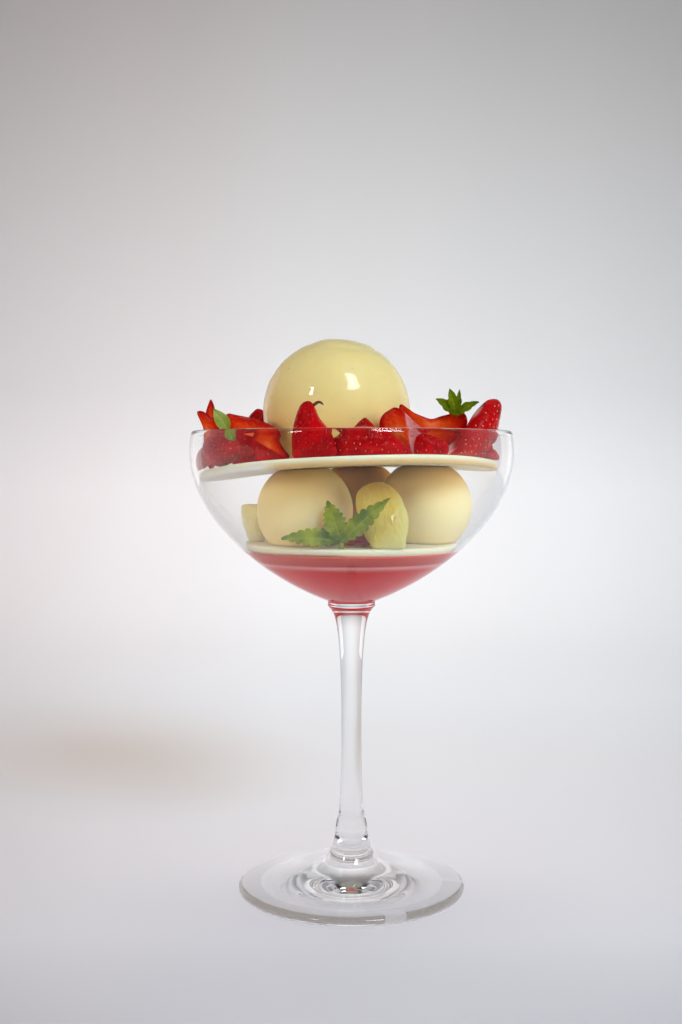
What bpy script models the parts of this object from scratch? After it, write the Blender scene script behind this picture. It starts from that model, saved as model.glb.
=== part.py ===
"""Strawberry sundae in its coupe glass: sauce, a lower disc with three scoops, mint and
citrus, an upper disc with one large scoop, and strawberry pieces all round it.

Sizes are in millimetres and are turned into metres as each mesh is made. The origin is the
bottom centre of the foot, +Z is up and -Y is the front.
"""

import math

import bmesh
import bpy
from mathutils import Matrix, Vector

MM = 0.001
GAP = 0.3  # clearance that touching pieces keep
SHARP_EDGE = math.radians(40)

# Glass
GLASS_HEIGHT = 168.0
GLASS_SIDES = 36
WALL = 1.3
BOWL_RADIUS = 58.9
BOWL_WIDEST_HEIGHT = 160.0
BOWL_DEPTH = 56.0
BOWL_POWERS = (1.9, 0.75)
RIM_RADIUS = 57.9
BOWL_FLOOR_HEIGHT = 106.6
BOWL_HEIGHTS = (109.5, 114, 119, 125, 132, 140, 148, 156, 163)
PAD_HEIGHTS = (104.5, 106.5)  # solid glass between the stem and the bowl
STEM_RADIUS = 3.54
STEM_TOP_HEIGHT = 104.0
STEM_TOP_FLARES = ((3.2, 12.0), (1.4, 2.0))  # size and reach, from the stem's top down
STEM_FOOT_FLARES = ((7.2, 11.0), (4.3, 2.0))  # size and reach, from the foot's neck up
STEM_COLLAR = (0.45, 24.0, 3.0)  # size, height and spread of a low swelling
STEM_HEIGHTS = (10, 13, 17, 21, 26, 32, 45, 70, 88, 97, 102)
FOOT_RADIUS = 41.4
FOOT_EDGE_HEIGHT = 3.6
FOOT_EDGE_LIP = 0.6  # drop of the foot's top face below its edge height
FOOT_NECK_RADIUS = 15.0
FOOT_NECK_HEIGHT = 8.0
FOOT_CURVE = 1.7
FOOT_HOLLOW_RADIUS = 33.0
FOOT_HOLLOW_DEPTH = 1.6

# Sauce and discs
SAUCE_HEIGHT = 120.8
SAUCE_WALL_GAP = 3 * GAP
LOWER_DISC_RADIUS = 38.6
LOWER_DISC_FOOT_RADIUS = 36.3
LOWER_DISC_BOTTOM = 124.3
LOWER_DISC_TOP = 128.0
UPPER_DISC_RADIUS = 54.2
UPPER_DISC_CENTRE_X = -1.1
UPPER_DISC_THICKNESS = 3.0
UPPER_DISC_HEIGHT = 158.1
UPPER_DISC_SIDE_TILT = 2.0
UPPER_DISC_BACK_DROP = 0.9
UPPER_DISC_SAG = 3.6
UPPER_DISC_TWIST = 1.6
SCOOP_ROOF_GAP = 1.6 * GAP  # a small scoop's flat top keeps this to the upper disc's facets

# Scoops: centre and radius
SMALL_SCOOPS = {
    "scoop_left": ((-16.5, -13.0, 139.9), 17.0),
    "scoop_right": ((26.4, -4.0, 141.0), 17.0),
    "scoop_back": ((2.7, 23.2, 140.6), 17.1),
}
TOP_SCOOP_CENTRE = (-5.3, 0.0, 174.8)
TOP_SCOOP_RADIUS = 27.0


def material(name, colour, roughness=0.4, transmission=0.0):
    made = bpy.data.materials.new(name)
    made.use_nodes = True
    shader = made.node_tree.nodes["Principled BSDF"]
    shader.inputs["Base Color"].default_value = (*colour, 1.0)
    shader.inputs["Roughness"].default_value = roughness
    shader.inputs["Transmission Weight"].default_value = transmission
    return made


def add_object(name, points, faces, look):
    """An object whose mesh has these points, in millimetres, and these faces."""
    mesh = bpy.data.meshes.new(name)
    mesh.from_pydata([(x * MM, y * MM, z * MM) for x, y, z in points], [], faces)
    bm = bmesh.new()
    bm.from_mesh(mesh)
    bmesh.ops.recalc_face_normals(bm, faces=bm.faces)
    bmesh.ops.triangulate(bm, faces=[f for f in bm.faces if len(f.verts) > 4])
    for edge in bm.edges:
        edge.smooth = edge.calc_face_angle(0.0) < SHARP_EDGE
    bm.to_mesh(mesh)
    bm.free()
    mesh.materials.append(look)
    for polygon in mesh.polygons:
        polygon.use_smooth = True
    made = bpy.data.objects.new(name, mesh)
    bpy.context.scene.collection.objects.link(made)
    return made


def turned(profile, sides):
    """Points and faces of a profile of (radius, height) turned round Z. A radius of 0 is one point."""
    points = []
    rings = []
    for radius, height in profile:
        first = len(points)
        if radius == 0:
            points.append((0.0, 0.0, height))
            rings.append([first])
            continue
        for i in range(sides):
            angle = 2 * math.pi * i / sides
            points.append((radius * math.cos(angle), radius * math.sin(angle), height))
        rings.append(list(range(first, first + sides)))
    return points, joined(rings)


def joined(rings):
    """Faces between each ring of indices and the next, with a fan at a ring of one point."""
    faces = []
    for low, high in zip(rings, rings[1:]):
        count = max(len(low), len(high))
        for i in range(count):
            j = (i + 1) % count
            corners = [low[i % len(low)], low[j % len(low)], high[j % len(high)], high[i % len(high)]]
            faces.append(list(dict.fromkeys(corners)))
    return faces


def steps(start, end, count):
    return [start + (end - start) * i / (count - 1) for i in range(count)]


# ---------------------------------------------------------------- glass


def bowl_radius(height):
    """Outer radius of the bowl at a height."""
    if height > BOWL_WIDEST_HEIGHT:
        share = (height - BOWL_WIDEST_HEIGHT) / (GLASS_HEIGHT - BOWL_WIDEST_HEIGHT)
        return BOWL_RADIUS + (RIM_RADIUS - BOWL_RADIUS) * share**2
    depth = (BOWL_WIDEST_HEIGHT - height) / BOWL_DEPTH
    return BOWL_RADIUS * (1 - min(depth, 1.0) ** BOWL_POWERS[0]) ** BOWL_POWERS[1]


def stem_radius(height):
    """Outer radius of the stem, with its flares into the bowl and the foot."""
    upper = sum(s * math.exp((height - STEM_TOP_HEIGHT) / reach) for s, reach in STEM_TOP_FLARES)
    lower = sum(s * math.exp((FOOT_NECK_HEIGHT - height) / reach) for s, reach in STEM_FOOT_FLARES)
    size, middle, spread = STEM_COLLAR
    collar = size * math.exp(-(((height - middle) / spread) ** 2))
    return STEM_RADIUS + upper + lower + collar


def foot_height(radius):
    """Height of the top of the foot at a radius."""
    share = (FOOT_RADIUS - radius) / (FOOT_RADIUS - FOOT_NECK_RADIUS)
    low = FOOT_EDGE_HEIGHT - FOOT_EDGE_LIP
    return low + (FOOT_NECK_HEIGHT - low) * share**FOOT_CURVE


def inner_radius(height):
    """Inner radius of the bowl, one wall thickness inside the outer face."""
    slope = bowl_radius(height + 0.5) - bowl_radius(height - 0.5)
    return bowl_radius(height) - WALL * math.sqrt(1 + slope**2)


def floor_curve(count):
    """Inner face of the bowl from the rim down to the middle of its floor, as (radius, height)."""
    curve = [(inner_radius(h), h) for h in steps(GLASS_HEIGHT - 0.6, 110.5, count)]
    radius, height = curve[-1]
    for share in (0.66, 0.33):
        curve.append((radius * share, BOWL_FLOOR_HEIGHT + (height - BOWL_FLOOR_HEIGHT) * share**2))
    curve.append((0.0, BOWL_FLOOR_HEIGHT))
    return curve


def foot_profile():
    """Hollow underside, standing ring, rounded edge and top face of the foot."""
    profile = [(0.0, FOOT_HOLLOW_DEPTH), (FOOT_HOLLOW_RADIUS * 0.6, FOOT_HOLLOW_DEPTH * 0.7)]
    profile += [(FOOT_HOLLOW_RADIUS, 0.0), (FOOT_RADIUS - 1.6, 0.0)]
    profile += [(FOOT_RADIUS - 0.3, 0.9), (FOOT_RADIUS, 1.9)]
    profile += [(FOOT_RADIUS - 0.5, FOOT_EDGE_HEIGHT - 0.5)]
    return profile + [(r, foot_height(r)) for r in steps(FOOT_RADIUS - 2.5, FOOT_NECK_RADIUS, 4)]


def glass_profile():
    profile = foot_profile() + [(stem_radius(h), h) for h in STEM_HEIGHTS]
    profile += [(max(bowl_radius(h), stem_radius(PAD_HEIGHTS[0])), h) for h in PAD_HEIGHTS]
    profile += [(bowl_radius(h), h) for h in BOWL_HEIGHTS]
    profile += [(RIM_RADIUS, GLASS_HEIGHT - 0.5), (RIM_RADIUS - 0.5 * WALL, GLASS_HEIGHT)]
    return profile + floor_curve(9)


def make_glass():
    look = material("clear_glass", (0.9, 0.92, 0.92), 0.03, 1.0)
    points, faces = turned(glass_profile(), GLASS_SIDES)
    return add_object("glass", points, faces, look)


# ---------------------------------------------------------------- sauce and discs


def make_sauce():
    look = material("strawberry_sauce", (0.45, 0.02, 0.03), 0.2)
    curve = [(r, h) for r, h in floor_curve(9) if h < SAUCE_HEIGHT]
    top = inner_radius(SAUCE_HEIGHT)
    wall = [(max(r - SAUCE_WALL_GAP, 0.0), h + GAP) for r, h in curve]
    profile = [(0.0, SAUCE_HEIGHT), (top - SAUCE_WALL_GAP, SAUCE_HEIGHT)] + wall
    points, faces = turned(profile, GLASS_SIDES)
    return add_object("sauce", points, faces, look)


def plate_top(x, y):
    """Height of the upper disc's top face, which tilts to the left and sags at both sides."""
    u = (x - UPPER_DISC_CENTRE_X) / UPPER_DISC_RADIUS
    v = y / UPPER_DISC_RADIUS
    tilt = UPPER_DISC_SIDE_TILT * u - UPPER_DISC_BACK_DROP * v
    return UPPER_DISC_HEIGHT + tilt - UPPER_DISC_SAG * abs(u) ** 2.3 - UPPER_DISC_TWIST * u * u * v


def plate_under(x, y):
    return plate_top(x, y) - UPPER_DISC_THICKNESS


def make_lower_disc(look):
    edge = LOWER_DISC_RADIUS
    low = LOWER_DISC_BOTTOM
    high = LOWER_DISC_TOP
    profile = [(0.0, low), (LOWER_DISC_FOOT_RADIUS, low), (edge - 0.2, low + 2.0), (edge, high - 0.9)]
    profile += [(edge - 0.7, high), (0.0, high)]
    points, faces = turned(profile, GLASS_SIDES)
    return add_object("lower_disc", points, faces, look)


def make_upper_disc(look):
    edge = UPPER_DISC_RADIUS
    profile = [(0.0, 0.0)] + [(edge * share, 0.0) for share in (0.35, 0.7)]
    profile += [(edge - 0.7, 0.0), (edge, 0.8), (edge - 0.1, 2.2), (edge - 0.8, UPPER_DISC_THICKNESS)]
    profile += [(edge * share, UPPER_DISC_THICKNESS) for share in (0.7, 0.35)]
    profile += [(0.0, UPPER_DISC_THICKNESS)]
    points, faces = turned(profile, GLASS_SIDES)
    placed = []
    for x, y, z in points:
        x += UPPER_DISC_CENTRE_X
        placed.append((x, y, z + plate_under(x, y)))
    return add_object("upper_disc", placed, faces, look)


# ---------------------------------------------------------------- scoops


def ball(centre, radius, sides, rings, low, high):
    """A ball flattened where it would pass the heights low(x, y) and high(x, y)."""
    profile = [(0.0, -radius)]
    for i in range(1, rings):
        angle = math.pi * i / rings
        profile.append((radius * math.sin(angle), -radius * math.cos(angle)))
    profile.append((0.0, radius))
    points, faces = turned(profile, sides)
    placed = []
    for x, y, z in points:
        x += centre[0]
        y += centre[1]
        placed.append((x, y, min(max(z + centre[2], low(x, y)), high(x, y))))
    return placed, faces


def make_scoops():
    look = material("white_ice_cream", (0.72, 0.6, 0.34), 0.35)
    for name, (centre, radius) in SMALL_SCOOPS.items():
        points, faces = ball(
            centre,
            radius,
            18,
            12,
            lambda x, y: LOWER_DISC_TOP + GAP,
            lambda x, y: plate_under(x, y) - SCOOP_ROOF_GAP,
        )
        add_object(name, points, faces, look)
    points, faces = ball(
        TOP_SCOOP_CENTRE,
        TOP_SCOOP_RADIUS,
        24,
        15,
        lambda x, y: plate_top(x, y) + GAP,
        lambda x, y: TOP_SCOOP_CENTRE[2] + TOP_SCOOP_RADIUS,
    )
    add_object("scoop_top", points, faces, look)


# ---------------------------------------------------------------- cut fruit


def arc(start, end, count):
    """Points on the unit circle from one angle to the other, in degrees, as (y, z)."""
    angles = [math.radians(a) for a in steps(start, end, count)]
    return [(math.cos(a), math.sin(a)) for a in angles]


SECTIONS = {
    "whole": arc(0, 324, 10),
    "half": arc(0, 180, 7),
    "quarter": [(0.0, 0.0)] + arc(30, 150, 6),
    "leaf": [(1.0, 0.2), (0.0, 0.12), (-1.0, 0.2), (0.0, -0.12)],
    "stalk": arc(0, 300, 6),
}


def berry_radius(share):
    """Radius of a berry from its leafy end, 0, to its tip, 1, where 1 is the widest."""
    return math.sin(math.pi * share**0.58) ** 0.62 if 0 < share < 1 else 0.0


def leaf_radius(share):
    """Half width of a leaf from its base to its point."""
    return math.sin(math.pi * share**0.75) ** 0.9 if 0 < share < 1 else 0.0


def stalk_radius(share):
    return 1.0


def aimed(tip, skin):
    """Rotation that turns +X to the direction tip and +Z towards the direction skin.

    A direction is (turn, rise) in degrees: turn 0 is right, 90 is back, 270 is front.
    """
    along, up = (
        Vector((math.cos(t) * math.cos(r), math.sin(t) * math.cos(r), math.sin(r)))
        for t, r in (map(math.radians, pair) for pair in (tip, skin))
    )
    side = up.cross(along).normalized()
    up = along.cross(side).normalized()
    return Matrix((along, side, up)).transposed()


def fruit(kind, length, radius, tip, skin, curve=berry_radius, hull=0.16, rings=7):
    """Points and faces of a cut fruit round its middle, with the share hull cut off its leafy end."""
    section = SECTIONS[kind]
    turn = aimed(tip, skin)
    points = []
    loops = []
    spread = [math.sin(math.pi / 2 * i / rings) if hull else i / rings for i in range(rings + 1)]
    shares = [hull + (1 - hull) * share for share in spread]
    for share in shares:
        first = len(points)
        x = (share - 0.5) * length
        size = radius * curve(share)
        if size < 1e-6:
            points.append(turn @ Vector((x, 0.0, 0.0)))
            loops.append([first])
            continue
        points += [turn @ Vector((x, size * y, size * z)) for y, z in section]
        loops.append(list(range(first, first + len(section))))
    faces = joined(loops)
    faces += [loop for loop in (loops[0], loops[-1]) if len(loop) > 1]
    return points, faces


def dropped(points, at, lift=0.0):
    """The points moved to (x, y) and let down on the upper disc, or lift above it."""
    moved = [Vector((p.x + at[0], p.y + at[1], p.z)) for p in points]
    rise = max(plate_top(p.x, p.y) + GAP - p.z for p in moved)
    return [Vector((p.x, p.y, p.z + rise + lift)) for p in moved]


# Whole or revolved pieces: kind, length, radius, place (x, y), direction of the tip, direction of
# the skin, share cut off
BERRIES = {
    "strawberry_09": ("whole", 18.0, 5.8, (-42.7, -28.2), (304, 0), (0, 90), 0.16),
    "strawberry_14": ("half", 22.0, 7.6, (-29.5, 37.0), (30, 0), (90, 60), 0.16),
    "strawberry_15": ("quarter", 21.0, 8.5, (-8.5, 40.5), (200, 8), (80, 40), 0.16),
    "strawberry_16": ("half", 20.0, 8.0, (36.0, 33.0), (320, 6), (60, 50), 0.16),
    "strawberry_17": ("half", 22.0, 7.4, (42.0, 15.5), (95, 0), (20, 60), 0.16),
    "strawberry_18": ("quarter", 17.0, 7.0, (12.0, 32.0), (100, 4), (90, 90), 0.16),
    "strawberry_21": ("quarter", 12.5, 6.8, (-48.0, -13.1), (100, 0), (180, 30), 0.16),
    "strawberry_22": ("half", 15.0, 6.4, (44.6, -1.6), (95, 0), (10, 55), 0.16),
}

# Sliced pieces, which stand in an upright cut plane: a point of the plane (x, y), its turn round Z in
# degrees, how far the skin bulges to the front (or to the back if below 0), and the outline of the
# cut as (place along the plane, height)
SLICES = {
    "strawberry_01": ((-12.0, -45.0), 4, 5.0, [
        (-2.5, 177.0), (-1.0, 176.5), (0.0, 175.0), (1.5, 171.5), (3.5, 169.0), (5.5, 166.5), (6.5, 163.0),
        (7.0, 159.5), (0.5, 158.0), (-6.5, 158.0), (-7.5, 162.0), (-7.5, 165.5), (-7.0, 169.5),
        (-6.0, 173.0), (-4.5, 176.0),
    ]),
    "strawberry_02": ((6.0, -39.5), 2, 6.0, [
        (-13.0, 164.5), (-11.0, 165.5), (-8.5, 167.5), (-5.5, 168.5), (-2.0, 169.0), (2.0, 168.5),
        (6.0, 167.0), (9.0, 165.0), (12.0, 162.5), (14.0, 159.5), (10.0, 157.5), (-3.0, 157.5),
        (-12.0, 158.0), (-13.0, 161.5),
    ]),
    "strawberry_03": ((5.0, -32.5), 0, 3.5, [
        (-0.5, 172.0), (1.0, 171.0), (2.5, 169.5), (3.5, 167.5), (4.0, 162.5), (0.5, 158.0), (-4.0, 160.0),
        (-5.0, 167.0), (-3.5, 169.5), (-2.0, 171.0),
    ]),
    "strawberry_04": ((16.0, -29.5), -10, -6.0, [
        (-6.5, 167.0), (-6.5, 170.5), (-5.5, 173.0), (-3.5, 174.5), (-1.5, 175.5), (0.5, 175.0),
        (3.0, 173.0), (5.5, 170.5), (8.0, 168.0), (8.0, 165.0), (6.0, 162.5), (5.5, 158.5), (0.0, 157.5),
        (-4.5, 160.0), (-6.5, 164.0),
    ]),
    "strawberry_05": ((28.0, -18.5), 6, -4.5, [
        (-11.5, 176.0), (-10.5, 177.0), (-9.0, 175.5), (-7.0, 174.5), (-3.5, 173.0), (0.0, 172.0),
        (3.5, 173.0), (7.5, 174.0), (10.0, 174.5), (12.0, 173.5), (12.5, 170.0), (9.5, 165.0),
        (5.0, 161.0), (-0.5, 158.0), (-6.0, 158.0), (-9.0, 164.5), (-11.0, 171.0),
    ]),
    "strawberry_06": ((26.5, -38.5), 12, 3.0, [
        (-5.0, 165.5), (-2.5, 166.5), (1.0, 165.5), (4.5, 164.0), (6.0, 161.5), (4.5, 158.5),
        (-0.5, 157.5), (-5.0, 158.0), (-6.0, 162.0),
    ]),
    "strawberry_07": ((42.0, -21.5), 42, 5.5, [
        (9.5, 179.0), (12.0, 179.0), (13.5, 177.5), (13.0, 174.5), (12.0, 171.5), (11.0, 167.5),
        (9.5, 163.5), (5.0, 162.0), (2.0, 157.0), (-8.0, 157.0), (-19.0, 158.0), (-14.5, 161.0),
        (-10.0, 164.0), (-6.0, 167.0), (-3.0, 169.5), (1.0, 174.0), (6.5, 178.0),
    ]),
    "strawberry_08": ((48.0, -17.0), 35, 2.5, [
        (-1.5, 161.0), (1.5, 161.5), (3.5, 160.0), (4.0, 158.0), (1.5, 156.0), (-2.0, 156.0),
        (-3.5, 158.5), (-3.0, 160.0),
    ]),
    "strawberry_10": ((-34.5, -18.0), -20, -4.5, [
        (-10.5, 172.5), (-9.5, 174.0), (-6.5, 173.5), (-1.5, 172.5), (4.0, 171.0), (8.0, 169.0),
        (10.5, 166.0), (7.5, 161.0), (2.0, 157.0), (-5.0, 155.0), (-9.5, 158.5), (-10.5, 166.0),
    ]),
    "strawberry_11": ((-52.0, -2.5), -25, -2.5, [
        (-4.5, 174.5), (-3.5, 175.5), (-1.5, 175.0), (1.0, 173.5), (3.5, 171.5), (5.0, 167.5),
        (5.5, 160.5), (1.0, 154.5), (-1.5, 159.5), (-2.0, 166.5), (-2.0, 169.5),
    ]),
    "strawberry_12": ((-51.5, 7.0), -12, -3.5, [
        (-0.5, 180.0), (0.5, 178.0), (1.0, 175.0), (2.0, 171.5), (3.5, 166.5), (2.5, 159.5),
        (-1.0, 154.0), (-3.0, 163.0), (-3.0, 170.5), (-2.5, 175.0), (-1.5, 178.0),
    ]),
    "strawberry_13": ((-35.5, 18.0), -20, 4.0, [
        (-1.5, 176.0), (0.0, 177.0), (2.0, 176.5), (3.5, 174.5), (4.0, 169.5), (5.0, 163.5), (2.0, 155.0),
        (-3.0, 155.0), (-4.5, 165.0), (-4.0, 172.0), (-3.0, 174.5),
    ]),
    "strawberry_20": ((-26.5, -37.0), -14, -3.5, [
        (-6.0, 166.5), (-3.5, 168.0), (-1.0, 167.5), (1.0, 166.5), (2.5, 164.0), (4.0, 161.5),
        (6.0, 158.5), (2.5, 157.0), (-2.5, 156.0), (-5.5, 158.5), (-7.0, 163.5),
    ]),
}
# Loops of a slice's skin, as (share of the outline, share of the bulge), and of its cut
SLICE_SKIN = ((0.9, 0.42), (0.68, 0.72), (0.36, 0.92))
SLICE_EDGE = 0.35
LOWER_BERRY = ("strawberry_19", "quarter", 13.0, 6.5, (3.5, -23.9), (200, 0), (270, 70))

# Citrus segments: place, turn round Z and lean to the back in degrees, half the thickness, and the
# outline as (place along the plane, way up it)
CITRUS = {
    "citrus_front": ((10.5, -35.5), 0, 24, 3.0, [
        (-2.2, 0.0), (6.6, 0.0), (7.8, 3.3), (8.8, 8.0), (8.6, 12.0), (7.4, 15.6), (6.0, 19.3),
        (3.4, 22.4), (-0.7, 24.0), (-5.2, 23.2), (-8.3, 20.4), (-9.1, 16.4), (-8.3, 11.2), (-6.4, 5.2),
        (-4.4, 1.8),
    ]),
    "citrus_left": ((-35.6, -2.0), -14, 0, 3.8, [
        (-1.4, 0.0), (3.6, 0.0), (4.8, 3.6), (5.0, 7.4), (4.4, 11.0), (2.4, 13.0), (-0.6, 13.5),
        (-4.0, 13.2), (-4.6, 11.4), (-4.2, 7.4), (-3.0, 3.6),
    ]),
}
# Loops of a segment, as (share of the outline, share of the half thickness)
SEGMENT_LAYERS = ((0.4, -0.95), (0.76, -0.78), (0.95, -0.4), (1.0, 0.0), (0.95, 0.4), (0.76, 0.78),
                  (0.4, 0.95))


def fruit_slice(at, turn, bulge, outline):
    """Points and faces of a slice: an upright outline, flat on its cut side and round on the other."""
    angle = math.radians(turn)
    along = Vector((math.cos(angle), math.sin(angle), 0.0))
    front = Vector((math.sin(angle), -math.cos(angle), 0.0))
    flat = [Vector((*at, 0.0)) + along * u + Vector((0.0, 0.0, z)) for u, z in outline]
    middle = sum(flat, Vector()) / len(flat)
    edge = math.copysign(SLICE_EDGE, bulge)
    layers = [(0.97, -edge), (1.0, edge)] + [(share, bulge * out) for share, out in SLICE_SKIN]
    points = [middle - front * edge]
    loops = [[0]]
    for share, out in layers:
        loops.append(list(range(len(points), len(points) + len(flat))))
        points += [middle + (p - middle) * share + front * out for p in flat]
    points.append(middle + front * bulge * 0.96)
    loops.append([len(points) - 1])
    points = [Vector((p.x, p.y, max(p.z, plate_top(p.x, p.y) + GAP))) for p in points]
    return points, joined(loops)


def make_berries():
    look = material("strawberry_flesh", (0.5, 0.02, 0.02), 0.3)
    for name, (kind, length, radius, at, tip, skin, hull) in BERRIES.items():
        points, faces = fruit(kind, length, radius, tip, skin, hull=hull)
        add_object(name, dropped(points, at), faces, look)
    for name, details in SLICES.items():
        points, faces = fruit_slice(*details)
        add_object(name, points, faces, look)
    name, kind, length, radius, at, tip, skin = LOWER_BERRY
    points, faces = fruit(kind, length, radius, tip, skin)
    add_object(name, stood(points, at), faces, look)


def stood(points, at):
    """The points moved to (x, y) and let down on the lower disc."""
    rise = LOWER_DISC_TOP + GAP - min(p.z for p in points)
    return [Vector((p.x + at[0], p.y + at[1], p.z + rise)) for p in points]


def segment(at, turn, lean, half, outline):
    """Points and faces of a citrus segment that stands on the lower disc and leans to the back."""
    angle, slope = math.radians(turn), math.radians(lean)
    along = Vector((math.cos(angle), math.sin(angle), 0.0))
    level = Vector((math.sin(angle), -math.cos(angle), 0.0))
    upward = Vector((0.0, 0.0, math.cos(slope))) - level * math.sin(slope)
    front = along.cross(upward)
    floor = LOWER_DISC_TOP + GAP
    rim = [Vector((*at, floor)) + along * u + upward * v for u, v in outline]
    middle = sum(rim, Vector()) / len(rim)
    points = [middle - front * half]
    loops = [[0]]
    for share, out in SEGMENT_LAYERS:
        loops.append(list(range(len(points), len(points) + len(rim))))
        points += [middle + (p - middle) * share + front * out * half for p in rim]
    points.append(middle + front * half)
    loops.append([len(points) - 1])
    return [Vector((p.x, p.y, max(p.z, floor))) for p in points], joined(loops)


def make_citrus():
    look = material("citrus_flesh", (0.6, 0.58, 0.2), 0.3, 0.3)
    for name, details in CITRUS.items():
        points, faces = segment(*details)
        add_object(name, points, faces, look)


# ---------------------------------------------------------------- leaves

# Stalk: length and radius. Leaf: length, half width, direction it points, direction of its upper face
LEAF_ROOT = 0.3  # a leaf starts this far inside the knot
MINT_KNOT = (-3.4, -35.0, 130.4)
MINT_STALK = (2.6, 0.9)
MINT_LEAVES = (
    (20.5, 4.1, (172, 3), (270, 40)),
    (15.0, 4.0, (140, 65), (270, 10)),
    (22.5, 4.0, (341, 41), (270, 20)),
)
SEPAL_KNOT = (36.6, -21.0, 173.6)
SEPAL_STALK = (2.0, 1.0)
SEPALS = (
    (9.6, 2.1, (187, 36), (270, 30)),
    (9.2, 2.2, (200, 72), (270, 10)),
    (8.6, 1.2, (0, 84), (270, 0)),
    (9.2, 1.9, (350, 38), (270, 40)),
    (7.5, 1.4, (90, 40), (0, 90)),
)
LEFT_SEPAL_KNOT = (-41.4, -33.8, 167.8)
LEFT_SEPAL_STALK = (2.0, 0.9)
LEFT_SEPALS = (
    (8.8, 2.4, (180, 54), (262, 10)),
    (4.4, 1.9, (10, -60), (262, 10)),
)


def make_sprig(name, knot, stalk, leaves, look):
    """One solid of leaves that grow from a short stalk, which points down from the knot."""
    length, radius = stalk
    points, faces = fruit("stalk", length, radius, (0, -90), (0, 0), stalk_radius, 0.0, 1)
    middle = Vector(knot) - Vector((0, 0, length / 2 - radius))
    sprig = add_object(name, [p + middle for p in points], faces, look)
    for i, (size, width, tip, top) in enumerate(leaves):
        points, faces = fruit("leaf", size, width, tip, top, leaf_radius, 0.0, 6)
        start = Vector(knot) + aimed(tip, top) @ Vector((size / 2 - LEAF_ROOT, 0, 0))
        leaf = add_object(f"{name}_leaf_{i}", [p + start for p in points], faces, look)
        leaf.hide_render = True
        leaf.display_type = "WIRE"
        union = sprig.modifiers.new(f"leaf_{i}", "BOOLEAN")
        union.operation = "UNION"
        union.solver = "EXACT"
        union.object = leaf


def make_leaves():
    look = material("green_leaf", (0.12, 0.25, 0.04), 0.5)
    make_sprig("mint_sprig", MINT_KNOT, MINT_STALK, MINT_LEAVES, look)
    make_sprig("calyx_right", SEPAL_KNOT, SEPAL_STALK, SEPALS, look)
    make_sprig("calyx_left", LEFT_SEPAL_KNOT, LEFT_SEPAL_STALK, LEFT_SEPALS, look)


def main():
    for old in list(bpy.data.objects):
        bpy.data.objects.remove(old, do_unlink=True)
    wafer = material("white_chocolate", (0.85, 0.76, 0.52), 0.4)
    make_glass()
    make_sauce()
    make_lower_disc(wafer)
    make_upper_disc(wafer)
    make_scoops()
    make_berries()
    make_citrus()
    make_leaves()


main()
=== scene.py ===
"""Looks of the strawberry sundae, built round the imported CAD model.

Shapes are worked out in millimetres and turned into metres as each mesh is made. The frame is
the CAD's: origin at the bottom centre of the foot, +Z up, -Y to the front.
"""

import random
from math import acos, asin, atan2, cos, exp, hypot, pi, radians, remainder, sin, sqrt

import bmesh
import bpy
from mathutils import Matrix, Vector
from mathutils.noise import noise


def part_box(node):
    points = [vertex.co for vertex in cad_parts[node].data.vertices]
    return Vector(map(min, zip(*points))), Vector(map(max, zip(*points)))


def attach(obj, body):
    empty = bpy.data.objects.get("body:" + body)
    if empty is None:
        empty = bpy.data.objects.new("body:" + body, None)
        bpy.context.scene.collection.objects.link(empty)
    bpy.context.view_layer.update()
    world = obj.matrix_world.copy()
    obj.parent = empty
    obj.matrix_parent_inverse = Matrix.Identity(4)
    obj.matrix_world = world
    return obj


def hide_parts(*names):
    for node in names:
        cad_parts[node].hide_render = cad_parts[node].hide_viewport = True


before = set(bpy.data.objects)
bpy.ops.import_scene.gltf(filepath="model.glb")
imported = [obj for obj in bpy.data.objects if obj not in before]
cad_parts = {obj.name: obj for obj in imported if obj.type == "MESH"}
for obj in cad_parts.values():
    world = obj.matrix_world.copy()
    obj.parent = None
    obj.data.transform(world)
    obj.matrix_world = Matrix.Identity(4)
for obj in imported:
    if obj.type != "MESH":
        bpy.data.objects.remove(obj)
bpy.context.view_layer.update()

MM = 0.001
BODY = "root"

# Glass, as in the CAD
GLASS_HEIGHT = 168
GLASS_SIDES = 240
WALL = 1.3
BOWL_RADIUS = 58.75
BOWL_WIDEST = 160
BOWL_DEPTH = 56
BOWL_POWERS = (1.9, 0.75)
RIM_RADIUS = 57.9
BOWL_FLOOR_HEIGHT = 106.6
BOWL_FLOOR_TOP = 110.5
PAD_BOTTOM = 104.5
STEM_RADIUS = 3.54
STEM_TOP_HEIGHT = 104
STEM_TOP_FLARES = ((3.2, 12), (1.4, 2))
STEM_FOOT_FLARES = ((7.2, 11), (4.3, 2))
STEM_COLLAR = (0.45, 24, 3)
STEM_BOTTOM = 10
FOOT_RADIUS = 41.4
FOOT_EDGE_HEIGHT = 3.6
FOOT_EDGE_LIP = 0.6
FOOT_NECK_RADIUS = 15
FOOT_NECK_HEIGHT = 8
FOOT_CURVE = 1.7
FOOT_HOLLOW_RADIUS = 33
FOOT_HOLLOW_DEPTH = 1.6

# Sauce and discs, as in the CAD
SAUCE_HEIGHT = 120.8
SAUCE_REACH = 0.35  # how far the sauce goes into the wall, so that no air shows between them
SAUCE_CLIMB = 4.8  # how far its film climbs the wall
FILLET = 0.6  # how far its surface rises where it meets the film
LOWER_RADIUS = 38.6
LOWER_FOOT_RADIUS = 36.3
LOWER_BOTTOM = 124.3
LOWER_TOP = 128
UPPER_RADIUS = 54.2
UPPER_CENTRE_X = -1.1
UPPER_THICKNESS = 3
UPPER_HEIGHT = 158.1
UPPER_SIDE_TILT = 2
UPPER_BACK_DROP = 0.9
UPPER_SAG = 3.6
UPPER_TWIST = 1.6
TOUCH = 0.1  # how far a piece stays above the disc it lies on

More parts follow.
